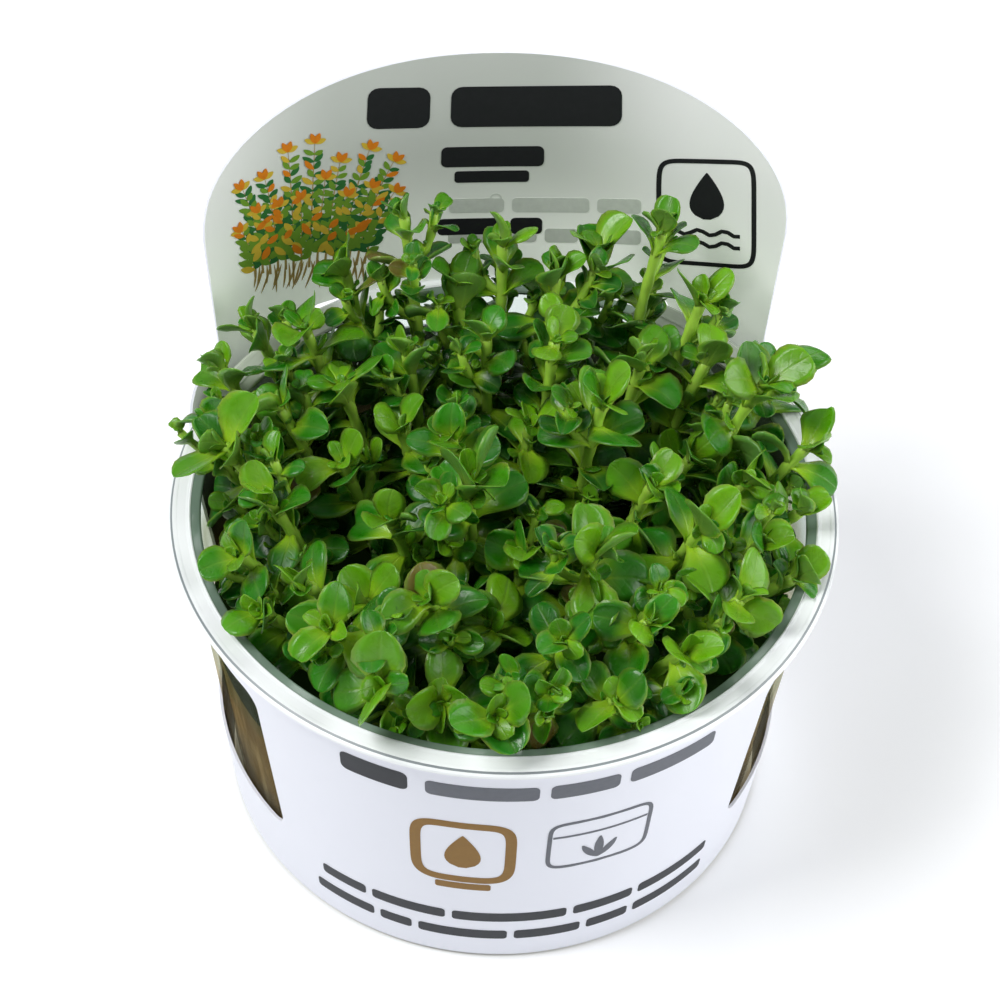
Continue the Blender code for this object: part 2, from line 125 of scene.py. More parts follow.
def placeOn(tree, output="Object"):
    # where a point lies in its object's coordinates, or its normal
    return addNode(tree, "TexCoord").outputs[output]


def axesOf(vector):
    return addNode(vector.id_data, "SeparateXYZ", {0: vector}).outputs


def noiseOn(place, spots, detail):
    inputs = {"Vector": place, "Scale": spots, "Detail": detail}
    return addNode(place.id_data, "TexNoise", inputs).outputs["Fac"]


def streaks(place, squeeze, spots, detail):
    # a noise drawn out along Z
    drawn = addNode(place.id_data, "Mapping", {"Vector": place, "Scale": (1.0, 1.0, squeeze)})
    return noiseOn(drawn.outputs["Vector"], spots, detail)


def makeMottle():
    # uneven colour and a matching height: a noise on the object's own coordinates scales the colour
    group = bpy.data.node_groups.new("mottle", "ShaderNodeTree")
    for name, way, kind in (("Colour", "INPUT", "Color"), ("Spots per metre", "INPUT", "Float"),
                            ("Strength", "INPUT", "Float"), ("Colour", "OUTPUT", "Color"),
                            ("Height", "OUTPUT", "Float")):
        group.interface.new_socket(name, in_out=way, socket_type="NodeSocket" + kind)
    source = group.nodes.new("NodeGroupInput").outputs
    result = group.nodes.new("NodeGroupOutput").inputs
    noise = noiseOn(placeOn(group), source["Spots per metre"], 3.0)
    swing = times(sums("SUBTRACT", noise, 0.5), source["Strength"])
    amount = sums("ADD", times(swing, 2.0), 1.0)
    scaled = addNode(group, "VectorMath", {0: source["Colour"], "Scale": amount}, operation="SCALE")
    feed(result["Colour"], scaled.outputs[0])
    feed(result["Height"], noise)
    return group


mottle = makeMottle()


def mottled(tree, colour, spots, strength):
    inputs = {"Colour": colour, "Spots per metre": spots, "Strength": strength}
    return addNode(tree, "Group", inputs, node_tree=mottle)


def newFinish(name, constants):
    # a material and its shader, whose plain values are set on the shader's own sockets
    finish = bpy.data.materials.new(name)
    finish.use_nodes = True
    shader = finish.node_tree.nodes["Principled BSDF"]
    for socket, value in constants.items():
        shader.inputs[socket].default_value = value
    return finish, shader


def raiseSurface(shader, height, depth):
    bump = addNode(shader.id_data, "Bump", {"Height": height, "Distance": depth})
    feed(shader.inputs["Normal"], bump.outputs["Normal"])


def paint(shader, colour, spots, strength, depth=0.0, height=None):
    # the colour goes in mottled, and the mottling's height, or another, raises the surface
    tone = mottled(shader.id_data, colour, spots, strength)
    feed(shader.inputs["Base Color"], tone.outputs["Colour"])
    if depth:
        raiseSurface(shader, height or tone.outputs["Height"], depth)
    return tone


# Mesh helpers

def unit(vectors):
    return vectors / np.sqrt((vectors * vectors).sum(-1, keepdims=True))


def alongLine(line, ticks, places):
    # the points at places along a line whose own points lie at the ticks
    return np.stack([np.interp(places, ticks, axis) for axis in line.T], -1)


def closer(count):
    # steps from 0 to 1 that lie closer together near 0
    return 1 - np.cos(np.linspace(0.0, pi / 2, count))


def smoothStep(low, high, value):
    # 0 up to low and 1 from high on, and between them three of the share's square less two of its cube
    share = np.clip((value - low) / (high - low), 0.0, 1.0)
    return share * share * (3.0 - 2.0 * share)


def gridCells(rows, columns, wrapped=False):
    # the corners of each cell of a grid of points: along the row first, then up to the next row
    row, column = np.mgrid[:rows - 1, :columns if wrapped else columns - 1]
    here, above, after = row * columns, (row + 1) * columns, (column + 1) % columns
    return np.stack((here + column, here + after, above + after, above + column), -1).reshape(-1, 4)


def tubeFaces(rows, ring):
    # a grid closed round its path, and both ends closed on a point of their own: the last two points
    around = np.arange(ring)
    after = (around + 1) % ring
    last = (rows - 1) * ring
    start = np.stack((np.full(ring, rows * ring), after, around), -1)
    end = np.stack((np.full(ring, rows * ring + 1), last + around, last + after), -1)
    return gridCells(rows, ring, wrapped=True).tolist() + start.tolist() + end.tolist()


def newObject(name, data):
    thing = bpy.data.objects.new(name, data)
    bpy.context.scene.collection.objects.link(thing)
    return thing


def newPiece(name, points, faces, finishes, nodes):
    mesh = bpy.data.meshes.new(name)
    mesh.from_pydata(np.asarray(points).tolist(), [], faces)
    mesh.shade_smooth()
    for finish in finishes:
        mesh.materials.append(finish)
    piece = newObject(name, mesh)
    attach(piece, "root")
    if nodes:
        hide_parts(*nodes)
    return piece


def giveThickness(piece, thickness, sharpAngle=radians(40)):
    # an equal part of the thickness lies on each side
    wall = piece.modifiers.new("wall", "SOLIDIFY")
    wall.thickness = thickness
    wall.offset = 0.0
    wall.use_even_offset = True
    plain = piece.data
    solid = piece.evaluated_get(bpy.context.evaluated_depsgraph_get())
    piece.data = bpy.data.meshes.new_from_object(solid)
    piece.modifiers.clear()
    bpy.data.meshes.remove(plain)
    piece.data.set_sharp_from_angle(angle=sharpAngle)


# Camera, light and floor

view = {
    "lens": 94.5,  # mm
    "sensor": 36.0,  # mm
    "near": 10 * mm,
    "azimuth": radians(-5),
    "elevation": radians(48.85),
    "roll": radians(2.58),
    "distance": 392 * mm,
    "aim": (0.0, 0.0, 58 * mm),  # the middle of the rim
    "shift": (-0.0044, 0.0007),
}

light = {
    "world": (0.93, 0.96, 1.0, 1.0),
    "worldStrength": 0.24,
    "backdrop": (0.95, 0.96, 0.97, 1.0),  # what the camera sees behind the floor
    "floor": shade(246, 247, 248),
    "floorHalf": 3.0,
    "floorSpots": (40.0, 0.02),  # per metre, and their strength
    "floorRoughness": 0.7,
    "floorGlow": (0.25, 1.5, 0.13, 0.80),  # two distances, and what it gives off there to stay as pale
    "lamps": (  # name, place, aim, width and power in watts
        ("key", (-0.50, -0.10, 0.80), (0, 0, 0.05), 0.42, 6.8),
        ("fill", (0.75, -0.14, 0.45), (0, 0, 0.05), 0.60, 5.2),
        ("back", (0.10, 0.75, 0.60), (0, 0, 0.07), 0.35, 1.3),
    ),
}


def placeCamera():
    # the camera looks along its own -Z: it rolls about it, tips over, goes round and stands off from its aim
    camera = newObject("camera", bpy.data.cameras.new("camera"))
    camera.data.sensor_width = view["sensor"]
    camera.data.lens = view["lens"]
    camera.data.shift_x, camera.data.shift_y = view["shift"]
    camera.data.clip_start = view["near"]
    place = Matrix.Translation(view["aim"])
    for angle, axis in ((view["azimuth"], "Z"), (pi / 2 - view["elevation"], "X"), (view["roll"], "Z")):
        place = place @ Matrix.Rotation(angle, 4, axis)
    camera.matrix_world = place @ Matrix.Translation((0.0, 0.0, view["distance"]))
    bpy.context.scene.camera = camera


def placeLights():
    world = bpy.data.worlds.new("studio")
    world.use_nodes = True
    seen = addNode(world.node_tree, "LightPath").outputs["Is Camera Ray"]
    sky = world.node_tree.nodes["Background"].inputs
    feed(sky["Color"], covered(light["world"], (seen, light["backdrop"])))
    feed(sky["Strength"], ramp(seen, 0.0, 1.0, light["worldStrength"], 1.0))
    bpy.context.scene.world = world
    for name, place, aim, width, power in light["lamps"]:
        lamp = newObject(name, bpy.data.lights.new(name, "AREA"))
        lamp.data.size = width
        lamp.data.energy = power
        lamp.location = place
        lamp.rotation_euler = (Vector(aim) - Vector(place)).to_track_quat("-Z", "Y").to_euler()
    bpy.context.scene.view_settings.view_transform = "Standard"


def layFloor():
    constants = {"Roughness": light["floorRoughness"], "Emission Color": light["backdrop"]}
    finish, shader = newFinish("paleFloor", constants)
    paint(shader, light["floor"], *light["floorSpots"])
    away = addNode(finish.node_tree, "VectorMath", {0: placeOn(finish.node_tree)}, operation="LENGTH")
    feed(shader.inputs["Emission Strength"], ramp(away.outputs["Value"], *light["floorGlow"]))
    half = light["floorHalf"]
    corners = [(-half, -half, 0), (half, -half, 0), (half, half, 0), (-half, half, 0)]
    mesh = bpy.data.meshes.new("floor")
    mesh.from_pydata(corners, [], [(0, 1, 2, 3)])
    mesh.materials.append(finish)
    floor = newObject("floor", mesh)


placeCamera()
placeLights()
layFloor()
print("camera, lights and floor are in place")


# Cup and gel

# Four numbers go to ramp: from, to, and the amounts at both. Spots are their number per metre, their strength
# and their height, and streaks are a squeeze along Z, their number and their detail

cup = {
    "height": 58.0 * mm,
    "flange": 1.0 * mm,
    "footRadius": 42.4 * mm,
    "wallTop": 47.4 * mm,  # outer radius of the wall under the flange
    "wall": 0.8 * mm,
    "floor": 1.2 * mm,
    "ledgeHeight": 52.5 * mm,  # the inner wall steps outwards a little here
    "ledgeRise": 0.4 * mm,
    "ledge": 0.25 * mm,
    "footBevel": 0.8 * mm,
    "rounds": (1.2, 0.2, 0.15, 0.4, 0.3),  # in mm: the floor's corner, the ledge's two and the foot's two
    "rim": (  # radius, depth below the top and rounding of each corner, in mm, from the inner wall outwards
        (46.85, 2.2, 0.5), (45.1, 1.2, 0.5), (45.2, 0.4, 0.35), (46.7, 0.1, 0.3), (46.8, 0, 0.05),
        (47.2, 0, 0.05), (47.4, 0.05, 0.08), (48.65, 0.05, 0.08), (48.85, 0, 0.08), (49.35, 0, 0.08),
        (49.65, 0.2, 0.06), (50, 0.4, 0.06), (50, 1, 0.12), (47.4, 1, 0.3),
    ),
    "steps": 160,
    "clear": {"Roughness": 0.04, "IOR": 1.0, "Transmission Weight": 0.93, "Coat Roughness": 0.06},
    "gloss": (0.1, 0.6, 1.0, 0.0),  # weight of the coat, as the wall turns edge on
    "colour": shade(222, 232, 226),
    "spots": (60.0, 0.03, 0.05 * mm),
    "smears": (0.3, 140.0, 3.0),
    "smearShare": (0.35, 0.65, 0.55, 1.0),
    "film": shade(182, 168, 134),  # of gel and moisture inside the wall
    "wetFilm": shade(148, 154, 118),  # the same above the gel
    "filmTop": (45.0 * mm, 51.0 * mm, 1.0, 0.0),
    "rimIndex": 1.46,
    # name, colour, roughness and unevenness, and where it lies: depth below the top and radii, in mm
    "rimFinishes": (
        ("whiteRim", shade(246, 249, 250), 0.25, 0.05, 1.1, 46.7, 60.0),
        ("lipPaintedShade", shade(118, 138, 124), 0.16, 0.6, 2.0, 0.0, 46.7),  # painted shade: the clear lip is painted dark for the dim inside that it shows
        # painted shadow: a thin grey line on the flange's outer bevel
        ("bevelPaintedShadow", shade(136, 144, 146), 0.3, 0.3, 0.25, 49.35, 49.65),
    ),
    # painted shade: the tag's grey, painted on the rim where it runs past the tag's feet
    "tagShadeOnRim": shade(178, 186, 172),
    "tagAside": (21 * mm, 28 * mm),  # the rim runs past the tag's feet behind here and further aside
    "tagBehind": (14 * mm, 26 * mm),
}

gel = {
    "top": 36.0 * mm,
    "gap": 0.3 * mm,
    "creep": 0.25 * mm,  # how far the gel's edge climbs the wall
    "edge": 3.0 * mm,  # width of that edge
    "rounds": (2.0, 0.2, 1.2),  # in mm
    "steps": 96,
    "soft": {"Roughness": 0.45, "IOR": 1.08, "Emission Strength": 0.16},  # its emission is a painted glow that keeps it from going black in the shade
    "colour": shade(140, 118, 80),
    "spots": (90.0, 0.35, 0.4 * mm),
    "streak": shade(196, 176, 138),
    "streaks": (0.22, 260.0, 4.0),
    "streakShare": (0.5, 0.72),
    # painted shade: the gel's upward faces are nearly black-green, as deep under the canopy
    "topShade": shade(20, 36, 10),
    "topShadeShare": (0.3, 0.8),
    "topFade": (35.0 * mm, 38.0 * mm),  # over which the film on the wall changes
}


def wallRadius(z):
    # outer radius of the cup's wall at a height: a straight cone
    return cup["footRadius"] + (cup["wallTop"] - cup["footRadius"]) * z / (cup["height"] - cup["flange"])


def roundCorners(corners, steps=5):
    # a corner of radius, height and cut gives way to a quadratic curve between the two points at its cut
    share = np.linspace(0.0, 1.0, steps)[:, None]
    corners = np.array(corners)
    places, cuts = corners[:, :2], corners[1:, 2]
    path = [places[:1]]
    for before, here, after, cut in zip(places, places[1:], places[2:], cuts):
        start = here + cut * unit(before - here)
        end = here + cut * unit(after - here)
        path.append((1 - share) ** 2 * start + 2 * share * (1 - share) * here + share ** 2 * end)
    return np.concatenate(path + [places[-1:]])


def turned(corners, steps):
    # the rounded profile turned about Z, from axis to axis. It runs down its outer side, so its faces
    # are turned over to point outwards
    profile = roundCorners(corners)
    angle = np.arange(steps) * 2 * pi / steps
    radius, height = profile[1:-1, :1], profile[1:-1, 1:]
    around = np.stack((radius * np.cos(angle), radius * np.sin(angle), height + 0 * angle), -1)
    poles = [(0.0, 0.0, profile[0, 1]), (0.0, 0.0, profile[-1, 1])]
    faces = [face[::-1] for face in tubeFaces(len(profile) - 2, steps)]
    return np.concatenate((around.reshape(-1, 3), poles)), faces


def clearPlastic():
    # The gloss is a coat that fades out where the wall is seen edge on, so the windows show the gel.
    # Moisture and gel smear the inside of the wall below the ledge, in streaks that run down
    finish, shader = newFinish("clearPlastic", cup["clear"])
    facing = addNode(finish.node_tree, "LayerWeight").outputs["Facing"]
    feed(shader.inputs["Coat Weight"], ramp(facing, *cup["gloss"]))
    place = placeOn(finish.node_tree)
    height = axesOf(place)["Z"]
    share = times(ramp(height, *cup["filmTop"]), ramp(streaks(place, *cup["smears"]), *cup["smearShare"]))
    film = covered(cup["film"], (ramp(height, *gel["topFade"]), cup["wetFilm"]))
    paint(shader, covered(cup["colour"], (share, film)), *cup["spots"])
    return finish


def rimPlastic(name, colour, roughness, unevenness):
    # where the rim runs past the tag's feet it is painted the tag's grey, painted shade as if the tag showed
    # through
    finish, shader = newFinish(name, {"Roughness": roughness, "IOR": cup["rimIndex"]})
    axes = axesOf(placeOn(finish.node_tree))
    aside = ramp(sums("ABSOLUTE", axes["X"]), *cup["tagAside"])
    beforeTag = times(aside, ramp(axes["Y"], *cup["tagBehind"]))
    spots, _, depth = cup["spots"]
    paint(shader, covered(colour, (beforeTag, cup["tagShadeOnRim"])), spots, unevenness, depth)
    return finish


def makeCup():
    # the profile goes out over the floor, up inside, over the rim and down outside to the foot. The rim's
    # bands, told by height and radius, have finishes of their own
    top, wall, floor, ledge = cup["height"], cup["wall"], cup["floor"], cup["ledgeHeight"]
    inside, foot = wallRadius(ledge) - wall, cup["footBevel"]
    inner = [(wallRadius(floor) - wall, floor), (inside, ledge),
             (inside + cup["ledge"], ledge + cup["ledgeRise"])]
    outer = [(wallRadius(foot), foot), (cup["footRadius"] - foot, 0.0)]
    plain = [(*corner, cut * mm) for corner, cut in zip(inner + outer, cup["rounds"])]
    rim = [(radius * mm, top - depth * mm, cut * mm) for radius, depth, cut in cup["rim"]]
    points, faces = turned([(0, floor, 0)] + plain[:3] + rim + plain[3:] + [(0, 0, 0)], cup["steps"])
    middle = np.array([points[face[:3]].mean(0) for face in faces])
    radii, heights = np.hypot(middle[:, 0], middle[:, 1]), middle[:, 2]
    finishes, finish = [clearPlastic()], np.zeros(len(faces), int)
    for name, colour, roughness, unevenness, depth, low, high in cup["rimFinishes"]:
        finish[(heights > top - depth * mm) & (radii > low * mm) & (radii < high * mm)] = len(finishes)
        finishes.append(rimPlastic(name, colour, roughness, unevenness))
    piece = newPiece("clearCup", points, faces, finishes, ["cup"])
    piece.data.polygons.foreach_set("material_index", finish)


def gelSkin():
    # streaks run up the wall, where roots lie in the gel: a noise stretched along Z. Its upward faces are
    # painted nearly black, painted shade
    finish, shader = newFinish("gelSkin", gel["soft"])
    roots = streaks(placeOn(finish.node_tree), *gel["streaks"])
    upwards = axesOf(placeOn(finish.node_tree, "Normal"))["Z"]
    colour = covered(gel["colour"], (ramp(roots, *gel["streakShare"]), gel["streak"]),
                     (ramp(upwards, *gel["topShadeShare"]), gel["topShade"]))
    tone = paint(shader, colour, *gel["spots"], roots)
    # painted light: the gel glows with its own colour
    feed(shader.inputs["Emission Color"], tone.outputs["Colour"])
    return finish


def makeGel():
    # a cone inside the wall, level on top, whose edge creeps up a little
    top, low = gel["top"], cup["floor"] + gel["gap"]
    clear, level = cup["wall"] + gel["gap"], top - gel["creep"]
    edge = wallRadius(top) - clear
    corners = [(edge - gel["edge"], level), (edge, top), (wallRadius(low) - clear, low)]
    rounded = [(*corner, cut * mm) for corner, cut in zip(corners, gel["rounds"])]
    points, faces = turned([(0, level, 0)] + rounded + [(0, low, 0)], gel["steps"])
    newPiece("settledGel", points, faces, [gelSkin()], ["growing_medium"])


makeCup()
makeGel()
print("the cup and its gel are made")


# Label sheet: the sleeve on the cup and the tag behind the plant, which are one piece

sheet = {
    "thickness": 0.45 * mm,
    "clearance": 0.35 * mm,  # between the cup's wall and the sheet
    "low": 0.8 * mm,
    "top": 56.2 * mm,  # of the sleeve, under the flange
    "bendRadius": 68.5 * mm,  # the tag is flatter than the cup
    "stand": 47.9 * mm,  # from the cup's axis back to the tag's middle, at the rim
    "lean": 0.09,
    "halfWidth": 46.5 * mm,  # along the sheet, at the rim
    "widest": 48.0 * mm,
    "shoulder": 80.0 * mm,  # height where the round top begins
    "arch": 21.0 * mm,
    "archPower": 2.5,
    "slotHalf": 29.5 * mm,  # the rim comes out through a slot
    "slotLow": 49.0 * mm,
    "slotTop": 58.35 * mm,
    "slotCorner": 1.2 * mm,
    "slotEasing": 2.0 * mm,  # how much higher the rows beside the slot stand at the tag's edge
    "flareLow": 26.0 * mm,  # the sheet begins to leave the wall for the flatter tag here
    "flareSide": 66.0 * mm,
    "windowAngle": radians(102),  # from the back, one on each side
    "windowHalf": 21.0 * mm,
    "windowLow": 16.0 * mm,
    "windowTop": 50.0 * mm,
    "windowMiddle": 33.0 * mm,
    "windowCorner": 3.0 * mm,
    "windowFade": 12.0 * mm,  # beside a window its columns straighten out over this length
    "columns": (18, 14, 10, 24, 26),  # to the slot's corner, tag's edge, window, past it, and the front
    "cornerColumns": 7,
    "rows": (9, 12, 2, 3, 1, 24),  # up to each of the heights between which makeSheet spreads them
    # its emission strength is for the painted glow low on the tag
    "film": {"Roughness": 0.36, "IOR": 1.49, "Emission Strength": 0.22},
    "through": (0.85, 0.95, 0.82, 1.0),  # painted glow: it stands in for light that comes through the film low on the tag
    "throughFade": (60 * mm, 88 * mm, 1.0, 0.0),
    "spots": (25.0, 0.03, 0.3 * mm),
    "sleeveColour": shade(230, 232, 241),
    "outerFade": (-2 * mm, 2 * mm),  # a point's way out from the axis, measured along its normal
    # the tag's front is the white film painted grey, painted shade
    "tagShadeGrey": shade(201, 205, 199),
    # painted light: paler towards the tag's sides
    "tagLitEdge": shade(250, 251, 249),
    "tagLitEdgeFade": (14 * mm, 40 * mm),
    "tagLightShift": 8 * mm,  # the middle of the tag's painted light and shade lies this far to the left
    # painted light: paler low on the tag, where it lies in shade
    "tagLitFoot": shade(248, 250, 246),
    "tagLitFootFade": (62 * mm, 84 * mm, 0.9, 0.0),
    "insideShade": shade(150, 158, 142),  # painted shade on the inner face, behind the cup's wet wall
    "insideShadeFade": (50 * mm, 55 * mm, 1.0, 0.0),
}

rollRadius = wallRadius(cup["height"]) + sheet["clearance"]  # turns a length along the sheet into an angle
halfRound = pi * rollRadius


def sheetMiddle(along, z):
    # the cone's point at the height, and at the angle of the length along the sheet from the back's middle.
    # Behind it goes over, by smooth steps of height and length, to a flatter arc that leans back
    radius = wallRadius(z) + sheet["clearance"] + sheet["thickness"] / 2
    angle, bend = along / rollRadius, along / sheet["bendRadius"]
    back = sheet["stand"] + sheet["lean"] * (z - cup["height"])
    arcX, arcY = sheet["bendRadius"] * np.sin(bend), back - sheet["bendRadius"] * (1.0 - np.cos(bend))
    share = smoothStep(sheet["flareLow"], sheet["top"], z)
    share = share * (1.0 - smoothStep(sheet["halfWidth"], sheet["flareSide"], np.abs(along)))
    x = radius * np.sin(angle) * (1 - share) + arcX * share
    y = radius * np.cos(angle) * (1 - share) + arcY * share
    return np.stack((x, y, z + 0 * x), -1)


def sheetFace(along, z, lift):
    # a point off the sheet's middle: lift is measured outwards, square to the surface
    step = 0.05 * mm
    run = sheetMiddle(along + step, z) - sheetMiddle(along - step, z)
    rise = sheetMiddle(along, z + step) - sheetMiddle(along, z - step)
    return sheetMiddle(along, z) + lift * unit(np.cross(rise, run))


def cornerDip(distance, half, radius):
    # how far a cut-out's edge draws back: nothing along the straight, the corner's circle near its side,
    # and the whole radius from the side on
    distance = np.abs(distance)
    beyond = np.clip(distance - (half - radius), 0.0, radius)
    return np.where(distance < half - 1e-6, radius - np.sqrt(radius ** 2 - beyond ** 2), radius)


def windowReach(z):
    # half a window's length along the sheet: its sides are straight, so it covers more of the narrow foot
    return rollRadius * np.arcsin(sheet["windowHalf"] / (wallRadius(z) + sheet["clearance"]))


def sheetColumns(window, reach):
    # lengths from the back's middle to the front's, closer together at corners and at the tag's edge
    slot, slotCorner, half = sheet["slotHalf"], sheet["slotCorner"], sheet["halfWidth"]
    corner, near = sheet["windowCorner"], closer(sheet["cornerColumns"])
    low, high = window - reach, window + reach
    toSlot, toEdge, toWindow, acrossWindow, toFront = sheet["columns"]
    runs = (
        np.linspace(0.0, slot - slotCorner, toSlot), slot - slotCorner * near,
        half - (half - slot) * closer(toEdge),
        np.linspace(half, low, toWindow), low + corner * near,
        np.linspace(low + corner, high - corner, acrossWindow), high - corner * near,
        np.linspace(high, halfRound, toFront),
    )
    return np.unique(np.round(np.concatenate(runs), 8))


def labelFilm():
    # The film is white on its outer face, which is the one that points away from the cup's axis. The
    # inner face is the tag's front, painted greyer as painted shade. Painted light makes it paler towards its
    # sides and foot, painted shade makes it darker behind the cup, and low on the tag a painted glow stands
    # in for light that comes through
    finish, shader = newFinish("labelFilm", sheet["film"])
    tree = finish.node_tree
    place = placeOn(tree)
    level = addNode(tree, "VectorMath", {0: place, 1: (1.0, 1.0, 0.0)}, operation="MULTIPLY").outputs[0]
    away = addNode(tree, "VectorMath", {0: level, 1: placeOn(tree, "Normal")}, operation="DOT_PRODUCT")
    outer = ramp(away.outputs["Value"], *sheet["outerFade"])
    axes = axesOf(place)
    height, aside = axes["Z"], sums("ABSOLUTE", sums("ADD", axes["X"], sheet["tagLightShift"]))
    # painted shade: the inner face darkens below the rim, behind the cup
    inside = ramp(height, *sheet["insideShadeFade"])
    inner = covered(sheet["tagShadeGrey"], (ramp(aside, *sheet["tagLitEdgeFade"]), sheet["tagLitEdge"]),
                    (ramp(height, *sheet["tagLitFootFade"]), sheet["tagLitFoot"]), (inside, sheet["insideShade"]))
    # a painted glow low on the tag's inner face
    glowShare = ramp(height, *sheet["throughFade"])
    for mask in (outer, inside):
        glowShare = times(glowShare, sums("SUBTRACT", 1.0, mask))
    feed(shader.inputs["Emission Color"], covered((0.0, 0.0, 0.0, 1.0), (glowShare, sheet["through"])))
    paint(shader, covered(inner, (outer, sheet["sleeveColour"])), *sheet["spots"])
    return finish


def makeSheet():
    # a grid of columns round the cup and rows up it. A column's rows are spread between its own stations,
    # at the edges of windows, slot and tag, and cells inside a window or the slot are left out
    window, reach = sheet["windowAngle"] * rollRadius, windowReach(sheet["windowMiddle"])
    slot, slotTop, width = sheet["slotHalf"], sheet["slotTop"], sheet["halfWidth"]
    half = sheetColumns(window, reach)
    along = np.concatenate((-half[:0:-1], half[:-1]))  # once round, from the front's middle
    far = np.abs(along)
    beside = far - window
    dip = cornerDip(beside, reach, sheet["windowCorner"])
    slotDip = cornerDip(far, slot, sheet["slotCorner"])
    easing = sheet["slotEasing"] * smoothStep(slot, width, far)
    power, share = sheet["archPower"], np.clip(far / width, 0.0, 1.0)
    peak = sheet["shoulder"] + sheet["arch"] * (1 - share ** power) ** (1 / power)
    stations = (sheet["low"], sheet["windowLow"] + dip, sheet["windowTop"] - dip,
                sheet["slotLow"] + slotDip + easing, sheet["top"], slotTop - slotDip, peak)
    stations = np.array(np.broadcast_arrays(*stations))
    rows = sheet["rows"]
    steps = [index + np.arange(count) / count for index, count in enumerate(rows)]
    steps = np.concatenate(steps + [[len(rows)]])
    lower = np.minimum(steps.astype(int), len(rows) - 1)
    z = stations[lower] + (stations[lower + 1] - stations[lower]) * (steps - lower)[:, None]
    off = np.abs(beside)
    fade = np.clip(np.where(off < reach, off / reach, 1 - (off - reach) / sheet["windowFade"]), 0, 1)
    shift = (windowReach(np.minimum(z, sheet["top"])) - reach) * fade * np.sign(beside) * np.sign(along)
    rising = np.clip((z - slotTop) / (sheet["shoulder"] - slotTop), 0, 1)
    widening = 1 + (sheet["widest"] / width - 1) * rising * (far <= width)
    points = sheetMiddle(along * widening + shift, z).reshape(-1, 3)
    middle = (far + np.roll(far, -1)) / 2
    outsideWindow, inTag = np.abs(middle - window) >= reach, middle < width
    outsideSlot, every = middle >= slot, middle >= 0
    kept = np.repeat((every, outsideWindow, every, outsideSlot, inTag & outsideSlot, inTag), rows, axis=0)
    cells = gridCells(len(z), len(far), wrapped=True)[kept.ravel()]
    used, cells = np.unique(cells, return_inverse=True)
    faces = cells.reshape(-1, 4)[:, ::-1].tolist()
    piece = newPiece("sleeveAndTag", points[used], faces, [labelFilm()], ["label_sleeve"])
    giveThickness(piece, sheet["thickness"])


# Printing: flat shapes of ink laid on the sheet. Its lines are plain bars

backBars = ((-6.5, 23.5, 72.6, 2.8, (5, 7, 4)), (-6.5, 23.5, 66.6, 2.8, (8, 3, 5)))  # shows through the tag

printing = {
    # face, ink, layer and lines: left, right and middle height, height of the bars, share of each bar
    "frontBold": ("front", "bars", 0, ((-26.6, -16.2, 50.0, 4.6, (1,)),)),
    "frontLines": ("front", "bars", 0, ((-33.0, 36.6, 13.0, 2.6, (4, 6, 9, 5, 7)),
                                        (-34.6, 36.6, 7.4, 2.6, (6, 3, 8, 6, 4, 8)))),
    "frontGrey": ("front", "greyLines", 0, ((-13.6, 30.4, 50.0, 3.6, (8, 5, 7)),)),
    "frontGold": ("front", "gold", 0, ((-12.4, -3.6, 22.4, 1.8, (1,)),)),
    "tagWords": ("tag", "black", 1, ((-20.2, 20.4, 91.3, 7.4, (3, 8)), (-8.0, 8.2, 82.0, 3.8, (1,)),
                                     (-5.8, 5.9, 78.2, 2.2, (1,)), (-8.2, 8.1, 68.5, 3.2, (4, 2)))),
    "tagBadge": ("tag", "black", 0, ()),
    "printedStems": ("tag", "earth", 0, ()),
    "printedLeafDark": ("tag", "leafDark", 1, ()),
    "printedLeafLight": ("tag", "leafLight", 2, ()),
    "printedYellow": ("tag", "yellow", 3, ()),
    "printedBloom": ("tag", "bloom", 4, ()),
    "tagShowThrough": ("tag", "ghost", 0, backBars),
    "backLines": ("back", "greyLines", 0, backBars),
}

ink = {
    "gap": 0.45,  # between bars, as a share of their height
    "thickness": 0.03 * mm,
    "lift": 0.035 * mm,  # from the film to the ink's middle
    "layer": 0.02 * mm,  # an ink printed over another lies this much higher
    "gloss": {"Roughness": 0.42, "IOR": 1.2},
    "spots": (900.0, 0.12),
    "fanRise": 0.005,  # the tag is cut from a fan, so straight lines rise at its sides and close in upwards
    "fanClose": 0.0025,
    "fanMiddle": 78,
    "bars": shade(56, 58, 62),
    "greyLines": shade(104, 107, 114),
    "gold": shade(138, 104, 50),
    "black": shade(38, 39, 41),
    "ghost": shade(212, 218, 210),
    "leafDark": shade(52, 112, 58),
    "leafLight": shade(112, 152, 52),
    "bloom": shade(218, 128, 34),
    "yellow": shade(208, 178, 62),
    "earth": shade(176, 150, 92),
}

